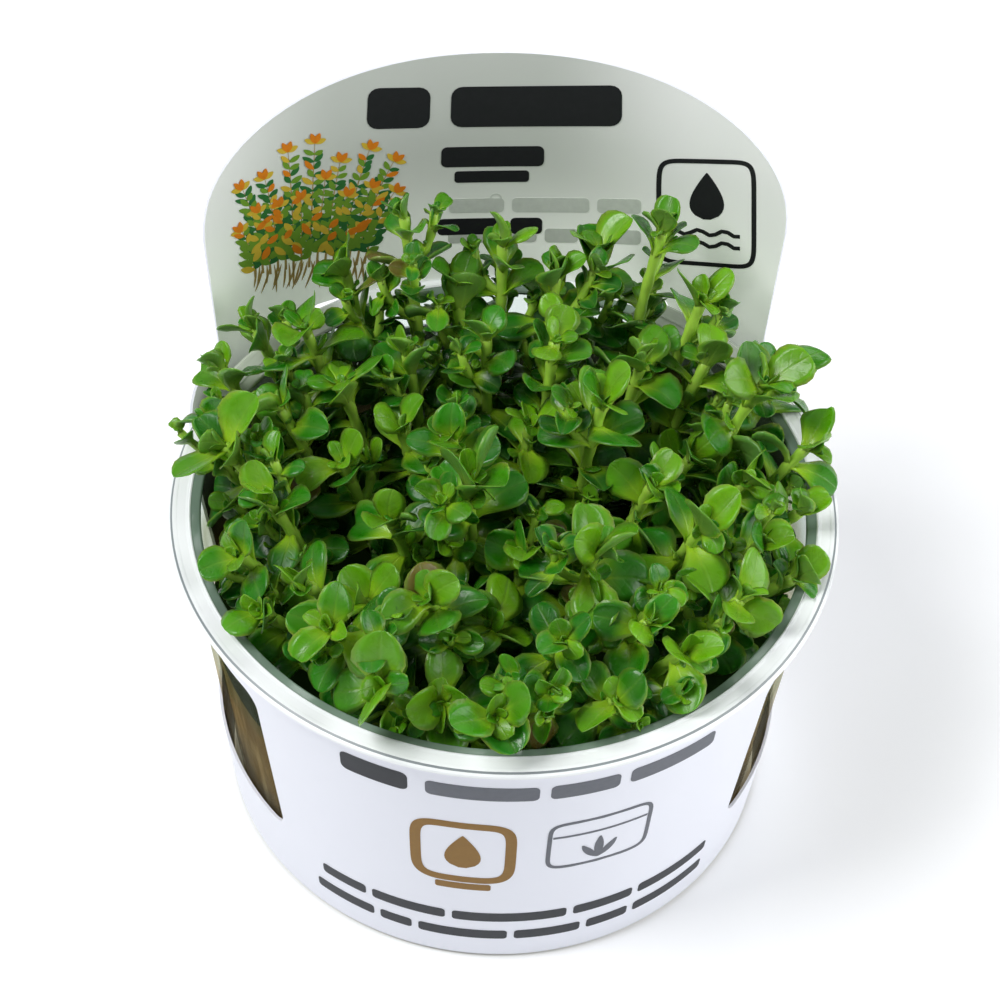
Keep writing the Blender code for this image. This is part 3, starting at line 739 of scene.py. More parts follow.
fan = {  # the sprigs on the tag, in mm and radians
    "seed": 3,
    "lean": 0.6,
    "sprigs": 15,
    "bed": (-28.6, 62.0, 15.0),  # its middle, height and half length for a lean of 1
    "bedSpread": (-0.5, 0.5),
    "heights": (15.5, 22.0),  # of even and odd sprigs
    "heightLean": (3.0, -9.0),  # added with the lean and with its square
    "heightSpread": (-1.6, 1.6),
    "stemLean": (0.2, 0.3),  # the share of the lean that a stem takes evenly, and with its length's square
    "sink": 0.12,  # how much lower a leaning stem ends
    "stemWidth": (0.18, 1.15),
    "pairs": (10, 14),
    "places": (0.16, 0.8),  # of the lowest pair up the stem, and how far the others reach
    "leaf": (2.5, 0.8),  # length of the lowest, and how much shorter the uppermost are
    "leafSpread": (0.8, 1.2),
    "leafWidth": 0.5,  # of its length
    "leafLean": 0.7,
    "turn": (0.8, 1.5),
    # the share of leaves that each ink prints, of what the ones before it leave
    "shares": (("printedBloom", 0.07), ("printedYellow", 0.12), ("printedLeafDark", 0.5)),
    "petals": (-1.2, -0.4, 0.4, 1.2),
    "petal": (1.9, 0.95),
    "roots": 30,
    "rootBed": (-37.6, 63.5, 0.62),  # the first root's place, and the step to the next
    "rootTurn": (-0.3, 0.3),
    "root": (3.5, 5.5, 0.35),  # least and greatest length, and width
}

inkLift = sheet["thickness"] / 2 + ink["lift"]


def frontFace(across, up, layer):
    # millimetres to the right of the front's middle and up from the base
    return sheetFace(halfRound - across * mm, up * mm, inkLift + layer)


def tagFace(across, up, layer, side=-1):
    # the lines close in with their height, and rise with the square of the distance from the middle
    along = across * (1 - ink["fanClose"] * (up - ink["fanMiddle"])) * mm
    return sheetFace(along, (up + ink["fanRise"] * across ** 2) * mm, side * (inkLift + layer))


def backFace(across, up, layer):
    return tagFace(across, up, layer, side=1)


def strip(path, halfWidth, closed=False):
    # a flat strip: each point of the path moves to both sides, square to the path, by the half width there
    before, after = np.roll(path, 1, axis=0), np.roll(path, -1, axis=0)
    if not closed:
        before[0], after[-1] = path[0], path[-1]
    run = unit(after - before)
    reach = np.stack((-run[:, 1], run[:, 0]), -1) * np.broadcast_to(halfWidth, len(path))[:, None]
    return np.stack((path - reach, path, path + reach)), closed


def bar(left, right, middle, height):
    # a bar whose corners are a quarter of its height
    corner = height / 4
    end = corner * closer(5)
    count = max(3, int((right - left) / 1.2))
    straight = np.linspace(left + corner, right - corner, count)
    across = np.concatenate((left + end[:-1], straight, right - end[-2::-1]))
    near = np.clip(np.minimum(across - left, right - across), 0.0, corner)
    half = height / 2 - corner + np.sqrt(corner ** 2 - (corner - near) ** 2)
    return strip(np.stack((across, middle + 0 * across), -1), half)


def wordBars(left, right, middle, height, words):
    # the bars of one line share out its length, less the spaces between them
    space = ink["gap"] * height
    lengths = np.array(words) * (right - left - space * (len(words) - 1)) / sum(words)
    starts = left + np.cumsum(lengths) - lengths + space * np.arange(len(words))
    return [bar(start, start + length, middle, height) for start, length in zip(starts, lengths)]


def outline(centre, halfWidth, halfHeight, line, power=5.0, steps=72):
    # a closed line round a superellipse: an ellipse at power 2, and nearer to a rectangle above it
    angle = np.arange(steps) * 2 * pi / steps
    circle = np.stack((np.cos(angle), np.sin(angle)), -1)
    path = np.sign(circle) * np.abs(circle) ** (2 / power) * (halfWidth, halfHeight)
    return strip(centre + path, line / 2, closed=True)


def blade(start, angle, length, width, curl=0.0, steps=9):
    # a printed leaf: the path turns by the curl on its way, and the width swells and falls with a sine
    share = np.linspace(0.0, 1.0, steps)
    heading = angle + curl * share
    walk = np.stack((np.sin(heading), np.cos(heading)), -1) * length / (steps - 1)
    path = start + np.cumsum(walk, axis=0) - walk[0]
    return strip(path, width / 2 * np.sin(pi * (0.03 + 0.94 * share)) ** 0.75)


def stroke(points, width, steps=8):
    # an open line through a few points
    ticks = np.arange(len(points))
    share = np.linspace(0, ticks[-1], steps * ticks[-1] + 1)
    return strip(alongLine(np.array(points), ticks, share), width / 2)


def waveLine(start, width, swing=0.5, turn=1.5, count=12):
    # an open line that swings with a cosine, by steps of a millimetre
    points = [(start[0] + step, start[1] + swing * cos(turn * step)) for step in range(count)]
    return stroke(points, width, steps=4)


def drop(centre, height, width):
    # a drop: round below and drawn out to a point above
    share = np.linspace(0.0, 1.0, 13)
    path = np.stack((centre[0] + 0 * share, centre[1] + height * (share - 0.5)), -1)
    return strip(path, width / 2 * np.sin(pi * np.clip(share * 0.98 + 0.01, 0, 1) ** 0.62) ** 0.9)


def lay(name, shapes, face, colour, layer):
    # all shapes of one ink on one face of the sheet, as thin closed films
    finish, shader = newFinish(name, ink["gloss"])
    paint(shader, ink[colour], *ink["spots"])
    points, faces, count = [], [], 0
    for grid, closed in shapes:
        rows, columns = grid.shape[:2]
        faces += (gridCells(rows, columns, wrapped=closed) + count).tolist()
        points.append(face(grid[..., 0].ravel(), grid[..., 1].ravel(), layer * ink["layer"]))
        count += rows * columns
    piece = newPiece(name, np.concatenate(points), faces, [finish], [])
    giveThickness(piece, ink["thickness"])


def sprigFan():
    # sprigs fan out of one bed of roots: a stem each, with pairs of leaves up it and a small bloom on top.
    # Each shape goes to the piece that prints it
    chance = np.random.default_rng(fan["seed"])
    shapes = {name: [] for name in printing}
    middle, bed, spread = fan["bed"]
    share = np.linspace(0.0, 1.0, 12)
    for number, lean in enumerate(np.linspace(-fan["lean"], fan["lean"], fan["sprigs"])):
        foot = (middle + spread * lean, bed + chance.uniform(*fan["bedSpread"]))
        height = fan["heights"][number % 2] + np.dot(fan["heightLean"], (lean, lean ** 2))
        height += chance.uniform(*fan["heightSpread"])
        across = lean * (fan["stemLean"][0] * share + fan["stemLean"][1] * share ** 2)
        stem = foot + height * np.stack((across, share - fan["sink"] * abs(lean) * share ** 2), -1)
        width, taper = fan["stemWidth"]
        shapes["printedStems"].append(strip(stem, width * (taper - share)))
        pairs = fan["pairs"][number % 2]
        for way in np.arange(pairs) / pairs:
            spot = alongLine(stem, share, fan["places"][0] + fan["places"][1] * way)
            size = fan["leaf"][0] - fan["leaf"][1] * way
            for side in (-1, 1):
                turn = lean * fan["leafLean"] + side * chance.uniform(*fan["turn"])
                drawn = (name for name, part in fan["shares"] if chance.random() < part)
                piece = next(drawn, "printedLeafLight")
                length = size * chance.uniform(*fan["leafSpread"])
                shapes[piece].append(blade(spot, turn, length, size * fan["leafWidth"], curl=-side * 0.5))
        for turn in fan["petals"]:
            petal = blade(stem[-1] - (0, 0.3), lean + turn, *fan["petal"])
            shapes["printedBloom" if abs(turn) < 1 else "printedYellow"].append(petal)
    left, low, step = fan["rootBed"]
    least, most, width = fan["root"]
    for foot in left + step * np.arange(fan["roots"]):
        turn, length = pi + chance.uniform(*fan["rootTurn"]), chance.uniform(least, most)
        shapes["printedStems"].append(blade((foot, low), turn, length, width, curl=0.2))
    return shapes


signs = {  # small drawn signs by the piece that prints them: a shape, and its values in mm and radians
    "frontGrey": ((outline, (12.9, 34.0), 8.0, 6.4, 0.7, 7.0), (stroke, ((5.4, 36.6), (20.4, 36.6)), 0.5),
                  (blade, (12.9, 28.8), 0.0, 6.0, 1.5), (blade, (12.9, 28.8), 0.75, 5.0, 1.3, -0.3),
                  (blade, (12.9, 28.8), -0.75, 5.0, 1.3, 0.3)),
    "frontGold": ((outline, (-8.1, 32.5), 7.3, 8.0, 1.7), (drop, (-8.1, 32.8), 9.4, 5.6)),
    "tagBadge": ((outline, (34.0, 71.8), 7.7, 9.6, 0.8, 8.0), (drop, (34.0, 75.0), 8.6, 5.6),
                 (waveLine, (28.4, 66.0), 0.7), (waveLine, (28.4, 68.2), 0.7)),
    "tagShowThrough": ((outline, (0.8, 74.0), 0.8, 0.8, 0.25, 2.0, 24),),
}


def printLabel():
    faces, sprigs = {"front": frontFace, "tag": tagFace, "back": backFace}, sprigFan()
    for name, (face, colour, layer, lines) in printing.items():
        words = [part for line in lines for part in wordBars(*line)]
        drawn = [shape(*values) for shape, *values in signs.get(name, ())]
        lay(name, words + drawn + sprigs[name], faces[face], colour, layer)


makeSheet()
printLabel()
print("the label sheet and its printing are made")


# Shoots. The plan places every stem and leaf where its solid has them, and adds leaves in the shade below

plan = {  # in millimetres and degrees
    "gelGap": 0.3,
    "stemHalf": 0.75,
    "stemSamples": 61,
    "rootSpread": 0.78,  # a stem's root is nearer to the cup's axis than its tip
    "pairDepths": (0.6, 4.0, 8.4, 13.2, 17.6, 22.0, 26.4, 31.0, 35.6),  # below the tip
    "pairAngles": (26, 46, 58, 66, 68, 72, 76, 78, 80),  # from the stem, on a closed shoot
    "pairLengths": (0.56, 0.82, 0.95, 0.95, 0.92, 0.86, 0.8, 0.8, 0.8),  # of the shoot's own leaf length
    "openAngles": (24, 16, 14, 12, 10, 8, 6, 4, 0),  # added on a fully opened shoot
    "openLengths": (0.40, 0.18, 0.05, 0.0, 0.0, 0.0, 0.0, 0.0, 0.0),
    "bend": 20,
    # a leaf's inner and outer part: length, width at its end and where points are taken, as shares
    "leafParts": ((0.58, 0.78, (0.4, 0.7, 1.0)), (0.42, 0.42, (0.33, 0.67, 1.0))),
    "sides": (-1.0, -0.5, 0.0, 0.5, 1.0),
    "fullRadius": 34.0,  # further out or higher than this, a shoot's solid has the greater number of pairs
    "fullHeight": 75.5,
    "solidPairs": (3, 4),
    # between leaves up and down, beside them and round a stem, and how a leaf may shrink, lift and twist
    "solidTries": ((1.25, 1.05, 1.65), (1.0, 0.86, 0.72, 0.6), (0, -12, 12, -24, 22), (0, 14, -14, 28, -28)),
    "fineTries": ((0.55, 0.6, 1.0), (1.0, 0.8, 0.62), (0, -16, 16), (0, 24, -24)),
    "shrinkCost": 110,
    "wallRoom": 1.0,
    "search": 3.0,  # how much further than a leaf's length its neighbours are looked for
    "sprigDepths": (0.4, 2.7, 5.4),  # of the pairs on a side sprig
    "sprigLength": (6.0, 12.0),  # least and most
    "sprigOpened": (0.2, 1.0),
    "sprigLeaf": 0.62,  # of its shoot's leaf length
    "sprigNodes": (2, 3, 4, 5, 6, 7),  # pairs in whose axils a sprig may stand
    "sprigShare": 0.5,
    "outerShare": 0.95,  # the same for shoots near the rim, and for those behind this place
    "outerFrom": 15,
    "sprigWay": ((0.8, -0.3), (0.3, 0.5)),  # outwards and upwards: evenly, and with the square of the length
    "sprigFoot": 0.4,
    "sprigReach": (46.0, 49.0),  # the furthest that its leaf may come from the axis: in front, and behind
    # tip x, y and height, leaf length, turn of the uppermost pair, and how far the shoot has opened
    "shoots": (
        (-37, 28, 67, 7.5, 10, 0.5), (-23, 34, 73, 7.5, 75, 0.6), (-14, 35, 83, 7.0, 20, 0.1),
        (-6, 31, 72, 8.0, 50, 0.5), (1, 35, 77, 7.5, 0, 0.6), (9, 30, 75, 8.5, 8, 0.2),
        (16, 36, 74, 8.5, 30, 0.8), (25, 33, 81, 8.0, 60, 0.4), (31, 26, 73, 8.0, 15, 0.7),
        (-29, 24, 70, 8.5, 80, 0.8), (44, 18, 66, 8.0, 40, 0.7), (45, 3, 65, 8.0, 70, 0.8),
        (43, -7, 62, 7.0, 20, 0.5), (41, -18, 60, 7.5, 55, 0.6), (36, -15, 64, 7.5, 5, 0.7),
        (-42, 21, 65, 7.5, 50, 0.4), (-43, 11, 64, 7.0, 0, 0.5), (-41, 2, 69, 9.0, 30, 1.0),
        (-35, -7, 67, 7.5, 75, 0.6), (-39, -13, 62, 7.5, 15, 0.6), (-33, 12, 66, 8.0, 45, 0.7),
        (-24, 15, 68, 8.0, 5, 0.8), (-14, 20, 69, 7.5, 60, 0.4), (-15, 9, 64, 7.5, 25, 0.7),
        (-8, 2, 70, 8.0, 80, 0.5), (-2, 21, 71, 7.5, 35, 0.5), (8, 18, 73, 7.5, 70, 0.6),
        (14, 4, 74, 9.0, 12, 0.8), (21, 15, 71, 8.5, 50, 0.7), (31, 17, 69, 8.0, 85, 0.6),
        (38, 9, 72, 9.5, 25, 0.9), (-6, -8, 71, 9.5, 40, 1.0), (4, 9, 64, 7.5, 5, 0.7),
        (21, -5, 66, 8.0, 60, 0.6), (27, -16, 69, 8.5, 30, 0.9), (35, -3, 64, 7.5, 75, 0.7),
        (-24, 3, 63, 8.0, 15, 0.8), (-17, -9, 64, 8.0, 55, 0.7), (11, -22, 71, 9.0, 4, 1.0),
        (18, -31, 67, 7.5, 65, 0.5), (6, -33, 66, 7.5, 35, 0.5), (-12, -26, 67, 8.5, 20, 0.8),
        (2, -14, 62, 8.0, 70, 0.8), (-26, -30, 66, 8.0, 50, 0.7), (-19, -38, 63, 9.5, 78, 1.0),
        (-29, -19, 62, 8.0, 10, 0.8), (-4, -44, 64, 8.0, 28, 1.0), (4, -41, 65, 7.0, 72, 0.2),
        (13, -40, 61, 8.0, 45, 0.8), (23, -35, 65, 8.0, 18, 0.7), (32, -25, 64, 8.0, 60, 0.8),
        (-11, -38, 59, 8.0, 0, 0.8), (-21, -19, 58, 8.0, 30, 0.9), (-3, -24, 58, 8.0, 60, 0.9),
        (11, -11, 59, 8.0, 25, 0.9), (28, 4, 62, 7.5, 50, 0.7), (-36, -22, 60, 7.5, 35, 0.7),
    ),
}

foliage = {
    "seed": 5,
    "rows": 8,  # along a leaf
    "smallRows": 5,
    # points round a leaf's section, in half widths and half thicknesses: a groove above and a ridge below
    "section": ((1, 0), (0.62, 0.75), (0, 0.2), (-0.62, 0.75), (-1, 0), (-0.6, -0.9), (0, -1.6),
                (0.6, -0.9)),
    "thickness": 0.36 * mm,
    "petiole": 0.25,  # width of a leaf's root, as a share of its widest place
    "rootInset": (0.6 * mm, 0.3 * mm),  # how deep a leaf's and an axil leaf's root sit in the stem
    "longer": 0.5 * mm,  # than its solid
    "axilRise": 0.5 * mm,
    "lean": radians(9),  # a leaf's mean direction, past that of its inner part
    "rise": radians(10),  # how much steeper the uppermost leaves stand than planned
    "ripple": (0.03, 1.6),  # of the leaf's length, and how many there are along it
    "spacing": 1.1,  # power of the rows' places, which lie closer together at the tip
    "swelling": 2.0,  # power of the sine up to the widest place
    "closing": 2.2,  # power of the way from there to the tip
    "rolling": 0.5,  # power of the way along, for the roll
    "thinning": (1.1, -0.5),  # share of the thickness at the root, and what the way along adds
    "rootSwell": (1.3, 0.12),  # how much thicker a root is, and the share of the length where that fades
    "looks": {  # drawn leaf by leaf in this order, between two values or with a usual size about nothing
        "tone": (0.85, 1.15),
        "curve": (radians(4), radians(88)),  # bend along its length
        "lift": radians(16),  # off its planned angle
        "fold": (-0.20, 0.62),  # how far the sides turn up, as a share of the half width
        "wide": (0.84, 1.1),
        "phase": (0.0, 1.0),  # of the ripple
        "shift": (-0.02, 0.11),  # of the widest place, towards the tip
        "roll": radians(34),  # turn about the midrib
        "sweep": 0.11,  # bend to one side, as a share of the length
        "point": (0.38, 0.62),  # from a round to a pointed tip
    },
    "heartLengths": (0.56, 0.38, 0.22, 0.14),  # of the shoot's leaf length: small leaves in a tip's heart
    "heartAngles": (38, 26, 14, 6),
    "heartOpen": (0.6, 0.7, 0.15),  # of those angles, what opening adds, and the usual spread
    "heartTilt": 0.32,  # how far a tip's heart leans to one side, its usual size
    "axilShare": 0.38,  # of the leaves have a small leaf in their axil
    "axilLength": (0.28, 0.5),
    "axilAngle": 0.5,  # of its leaf's angle
    "stemRing": 8,
    # rows, and half widths at the root and at the tip, of shoots and of sprigs
    "stems": ((30, 0.95 * mm, 0.74 * mm), (8, 0.62 * mm, 0.50 * mm)),
    "knot": 0.24 * mm,  # how far a stem swells where a pair of leaves stands
    "knotLength": 0.9 * mm,
    "ages": (shade(101, 157, 10), shade(43, 122, 6), shade(20, 102, 5), shade(9, 80, 5)),  # youngest first
    "tipAge": (0.5, 0.6, -0.3, 0.5),  # of the first leaves, and more for each pair, opened, and on a sprig
    "heartAge": 0.3,
    "axilAge": 0.6,
    "leafAge": 0.45,  # how far leaves, and shoots, differ from that
    "shootAge": 0.35,
    "old": shade(116, 84, 42),
    "oldBlend": 0.75,
    "oldShare": 0.014,  # of the leaves of each pair further down
    "rib": shade(150, 192, 36),
    # painted light: a paler leaf edge, as if light came through its thin rim
    "edge": shade(104, 148, 24),
    "under": shade(118, 148, 78),
    "stem": shade(160, 203, 72),
    "stemLow": shade(72, 120, 30),
    "stemFade": 30 * mm,  # height above the gel over which a stem's colour goes from low to full
    "leafShader": {"IOR": 1.38, "Coat Weight": 0.10, "Coat Roughness": 0.10, "Subsurface Weight": 0.3,
                   "Subsurface Radius": (0.5, 0.9, 0.1), "Subsurface Scale": 0.7 * mm},
    "stemShader": {"Roughness": 0.35, "IOR": 1.38, "Subsurface Weight": 0.25,
                   "Subsurface Radius": (0.6, 1.0, 0.15), "Subsurface Scale": 0.9 * mm},
    "leafSpots": (330.0, 0.30),
    "ribAside": (0.0, 0.12, 1.0, 0.0),  # aside goes from the midrib to the edge, and along from root to tip
    "ribAlong": (0.1, 0.8, 0.35, 0.05),
    "veins": (34.0, 11.0),  # how fast their sine runs along the leaf, and falls back aside
    "veinDepth": (0.5, 1.0, 0.0, 0.25),
    "litEdgeAside": (0.72, 1.0),
    "litEdgeAlong": (0.2, 0.7, 0.1, 0.5),
    "rootFade": (0.12, 0.62, 1.0, 0.0),
    "underShare": 0.5,
    "roughness": (0.35, 0.7, 0.22, 0.40),
    "underRoughness": 0.15,
    "ribRelief": -0.4,
    "stemSpots": (300.0, 0.3, 0.15 * mm),
    "leafRelief": 0.12 * mm,
}


def stemLine(x, y, z):
    # a stem rises evenly from the gel, and leans out with the square of its height
    share = np.linspace(0.0, 1.0, plan["stemSamples"])
    foot = gel["top"] + plan["gelGap"] * mm
    spread = plan["rootSpread"] + (1.0 - plan["rootSpread"]) * share * share
    return np.stack((x * spread, y * spread, foot + (z - foot) * share), -1)


def lengthsAlong(line):
    # how far along the line each of its points lies
    return np.append(0.0, np.cumsum(np.sqrt((np.diff(line, axis=0) ** 2).sum(1))))


def belowTip(line, depth):
    # the stem's middle at a depth below its tip, measured along it, and the direction of growth there
    lengths = lengthsAlong(line)
    place, lower, upper = alongLine(line, lengths, lengths[-1] - depth + np.array((0.0, -mm, mm)))
    return place, unit(upper - lower)


def stemSides(growth, turn):
    # two directions across a stem, square to its growth and to each other
    side = np.array((cos(turn), sin(turn), 0.0))
    first = unit(side - growth * (side * growth).sum(-1, keepdims=True))
    return first, np.cross(growth, first)


def layLeaf(node, growth, out, length, angle, twist):
    # a leaf of two flat parts, the outer one bent away from the stem. It comes with points spread over both
    # parts, and the upward direction at each
    out = unit(out * cos(twist) + np.cross(growth, out) * sin(twist))
    across, sides = np.cross(growth, out), np.array(plan["sides"])[:, None]
    root = node + plan["stemHalf"] * mm * out
    tip, half, turn = root, plan["stemHalf"] * mm, angle
    points, ups = [], []
    for part, width, shares in plan["leafParts"]:
        way, nextHalf = cos(turn) * growth + sin(turn) * out, width * length / 2
        end, share = tip + part * length * way, np.array(shares)[:, None, None]
        spots = tip + share * (end - tip) + sides * (half * (1.0 - share) + nextHalf * share) * across
        points.append(spots.reshape(-1, 3))
        ups.append(np.broadcast_to(np.cross(way, across), points[-1].shape))
        tip, half, turn = end, nextHalf, angle + radians(plan["bend"])
    leaf = {"root": root, "tip": tip, "growth": growth, "out": out, "length": length, "angle": angle}
    return leaf, np.concatenate(points), np.concatenate(ups)


def clearOfHolder(points):
    # true where points keep off the gel, the cup's wall and rim, and the tag
    x, y, z = points.T
    room, above = plan["wallRoom"] * mm, z - cup["height"]
    inside = np.hypot(x, y) < wallRadius(z) - cup["wall"] - room
    behind = y - (sheet["stand"] - sheet["bendRadius"]) - sheet["lean"] * above
    beforeTag = np.hypot(x, behind) < sheet["bendRadius"] - room
    return bool(((inside | (above > room)) & beforeTag & (z > gel["top"] + room)).all())


def leafChoices(shrinks, lifts, twists):
    # changes tried on a leaf until it has room, the smallest first
    choices = [(lift, twist, shrink) for shrink in shrinks for lift in lifts for twist in twists]
    costs = [abs(lift) + abs(twist) + plan["shrinkCost"] * (1.0 - shrink) for lift, twist, shrink in choices]
    return [(radians(lift), radians(twist), shrink)
            for cost, (lift, twist, shrink) in sorted(zip(costs, choices))]


def placeLeaf(taken, owner, node, growth, out, length, angle, stems, rooms, choices):
    # the first change that gives a leaf room between the holder, the other stems and the leaves already
    # placed. The room round another leaf is a low disc about each of its points
    leafRoom, edgeRoom, stemRoom = np.array(rooms) * mm
    search = plan["search"] * mm + length
    near = (np.abs(taken["points"] - node).max(1) < search) & (taken["owners"] != owner)
    nearPoints, nearUps = taken["points"][near], taken["ups"][near]
    nearStems = stems[np.abs(stems - node).max(1) < search]
    for lift, twist, shrink in choices:
        leaf, spots, tops = layLeaf(node, growth, out, length * shrink, angle + lift, twist)
        if not clearOfHolder(spots):
            continue
        gaps = ((spots[:, None] - nearStems) ** 2).sum(-1)
        apart = spots[:, None] - nearPoints
        above = (apart * nearUps).sum(-1)
        flat = (apart * apart).sum(-1) - above * above
        if (gaps < stemRoom ** 2).any() or ((np.abs(above) < leafRoom) & (flat < edgeRoom ** 2)).any():
            continue
        for key, more in (("points", spots), ("ups", tops), ("owners", np.full(len(spots), owner))):
            taken[key] = np.concatenate((taken[key], more))
        return leaf
    return None


def fillPairs(taken, shoots, order, tries):
    # opposite leaves, each pair turned a quarter from the next, from the tips down
    rooms, choices = tries[0], leafChoices(*tries[1:])
    stems = [shoot["line"][::2] for shoot in shoots]
    for pair, number in order:
        shoot = shoots[number]
        node, growth = belowTip(shoot["line"], shoot["depths"][pair] * mm)
        first, second = stemSides(growth, shoot["turn"])
        angle = radians(plan["pairAngles"][pair]) + shoot["opened"] * radians(plan["openAngles"][pair])
        length = shoot["length"] * (plan["pairLengths"][pair] + shoot["opened"] * plan["openLengths"][pair])
        others = np.concatenate([stem for index, stem in enumerate(stems) if index != number])
        owner = number * len(plan["pairDepths"]) + pair
        for side, out in enumerate((first, -first) if pair % 2 == 0 else (second, -second)):
            leaf = placeLeaf(taken, owner, node, growth, out, length, angle, others, rooms, choices)
            if leaf is None:
                continue
            reach = plan["sprigReach"][int(leaf["tip"][1] > 0)] * mm
            if shoot["parent"] is None or np.hypot(*leaf["tip"][:2]) < reach:
                shoot["leaves"][pair, side] = leaf


def newShoot(line, turn, length, opened, depths, parent=None):
    return {"line": line, "turn": turn, "length": length, "opened": opened, "depths": depths,
            "parent": parent, "leaves": {}}


def sproutSprigs(chance, shoots):
    # short side stems in the axils of lower leaves: each way, out and up, is quadratic in the length
    sprigs = []
    share = np.linspace(0.0, 1.0, 21)[:, None]
    outwards, upwards = [even * share + square * share ** 2 for even, square in plan["sprigWay"]]
    for number, shoot in enumerate(shoots):
        x, y = shoot["line"][-1, :2] / mm
        outer = y > plan["outerFrom"] or np.hypot(x, y) > plan["fullRadius"]
        wanted = plan["outerShare"] if outer else plan["sprigShare"]
        for pair in plan["sprigNodes"]:
            chosen, side = chance.random() < wanted, int(chance.integers(2))
            length, turn = chance.uniform(*plan["sprigLength"]), chance.uniform(0, pi)
            opened = chance.uniform(*plan["sprigOpened"])
            leaf = shoot["leaves"].get((pair, side))
            if not chosen or leaf is None:
                continue
            out, growth = leaf["out"], leaf["growth"]
            foot = leaf["root"] - plan["stemHalf"] * mm * out + plan["sprigFoot"] * mm * growth
            line = foot + length * mm * (out * outwards + growth * upwards)
            if clearOfHolder(line):
                leafLength = shoot["length"] * plan["sprigLeaf"]
                sprigs.append(newShoot(line, turn, leafLength, opened, plan["sprigDepths"], number))
    return sprigs


def planPlant(chance):
    # the pairs that have solids come first, so that they lie where the solids have them
    shoots, pairs = [], []
    for x, y, z, length, turn, opened in plan["shoots"]:
        full = (x * x + y * y) ** 0.5 > plan["fullRadius"] or z > plan["fullHeight"]
        pairs.append(plan["solidPairs"][full])
        line = stemLine(x * mm, y * mm, z * mm)
        shoots.append(newShoot(line, radians(turn), length * mm, opened, plan["pairDepths"]))
    taken = {"points": np.empty((0, 3)), "ups": np.empty((0, 3)), "owners": np.empty(0, int)}
    every = [(pair, number) for pair in range(len(plan["pairDepths"])) for number in range(len(shoots))]
    fillPairs(taken, shoots, [spot for spot in every if spot[0] < pairs[spot[1]]], plan["solidTries"])
    fillPairs(taken, shoots, [spot for spot in every if spot[0] >= pairs[spot[1]]], plan["fineTries"])
    sprigs = sproutSprigs(chance, shoots)
    order = [(pair, len(shoots) + number) for pair in range(len(plan["sprigDepths"]))
             for number in range(len(sprigs))]
    fillPairs(taken, shoots + sprigs, order, plan["fineTries"])
    return shoots, sprigs


def leafLook(chance, age, oldShare):
    # each leaf's own form and colour: yellow-green when young, fresh below that and dark green lower down,
    # partly painted shade
    steps = np.array(foliage["ages"])[:, :3]
    age = np.clip(age + chance.normal(0, foliage["leafAge"]), 0.0, 2.999)
    low = int(age)
    tint = steps[low] * (low + 1 - age) + steps[low + 1] * (age - low)
    if chance.random() < oldShare:
        tint = tint * (1 - foliage["oldBlend"]) + np.array(foliage["old"][:3]) * foliage["oldBlend"]
    look = {name: chance.uniform(*size) if isinstance(size, tuple) else chance.normal(0, size)
            for name, size in foliage["looks"].items()}
    return {**look, "tint": tint * look["tone"]}


def leafSurface(chance, root, growth, out, length, angle, age, rows, oldShare=0.0):
    # The midrib is a circular arc, whose heading from the stem goes from a little less than the angle to
    # more, and it bends aside with the square of its length. The half width is a power of a sine up to
    # the widest place, and from there to the tip a rounder curve, like an ellipse's. The section is
    # carried along, and rolls about the midrib as it goes: its sides turn up with the square of the
    # distance from the midrib, and ripple
    look, across = leafLook(chance, age, oldShare), np.cross(growth, out)
    v, h = np.array(foliage["section"]).T
    t = np.sin(np.linspace(0.0, pi / 2, rows + 1)) ** foliage["spacing"]
    bend = look["curve"]
    start = angle + foliage["lean"] + look["lift"] - bend / 2
    heading = (start + bend * t)[:, None]
    climb = (np.sin(heading) - sin(start)) / bend
    reach = (cos(start) - np.cos(heading)) / bend
    middle = root + length * (climb * growth + reach * out + look["sweep"] * t[:, None] ** 2 * across)
    rising = np.sin(heading) * growth - np.cos(heading) * out
    roll = look["roll"] * t[:, None] ** foliage["rolling"]
    side = across * np.cos(roll) + rising * np.sin(roll)
    up = rising * np.cos(roll) - across * np.sin(roll)
    widest, width, _ = plan["leafParts"][0]
    widest, petiole = widest + look["shift"], foliage["petiole"]
    swell = np.sin(pi / 2 * np.clip(t / widest, 0, 1)) ** foliage["swelling"]
    swell = petiole + (1 - petiole) * swell
    close = (np.clip(t - widest, 0, 1) / (1 - widest)) ** foliage["closing"]
    close = np.clip(1 - close, 0, 1) ** look["point"]
    half = (width / 2 * length * look["wide"] * swell * close)[:, None]
    (full, less), (extra, fade) = foliage["thinning"], foliage["rootSwell"]
    thick = (foliage["thickness"] / 2 * (full + less * t) * (1 + extra * np.exp(-t / fade)))[:, None]
    ripple, ripples = foliage["ripple"]
    wave = ripple * length * np.sin(2 * pi * (ripples * t + look["phase"])) * 3 * t * (1 - t)
    rise = look["fold"] * half * v ** 2 + thick * h + wave[:, None] * v * np.abs(v)
    points = middle[:, None] + (half * v)[..., None] * side[:, None] + rise[..., None] * up[:, None]
    points = np.concatenate((points[:-1].reshape(-1, 3), middle[:1], middle[-1:]))
    u = np.append(np.tile((v + 1) / 2, rows), (0.5, 0.5))
    under = np.append(np.tile(np.clip(0.5 - h, 0, 1), rows), (0.5, 0.5))
    return newPart(points, rows, len(v), u, t[:-1], under, look["tint"], 0)


def newPart(points, rows, ring, u, t, under, tint, finish):
    # its map holds the place across, and the way along, from 0 at one end point to 1 at the other
    uv = np.stack((u, np.append(np.repeat(t, ring), (0.0, 1.0))), -1)
    return {"points": points, "faces": tubeFaces(rows, ring), "uv": uv, "under": under, "finish": finish,
            "tint": np.broadcast_to(tint, (len(points), 3))}


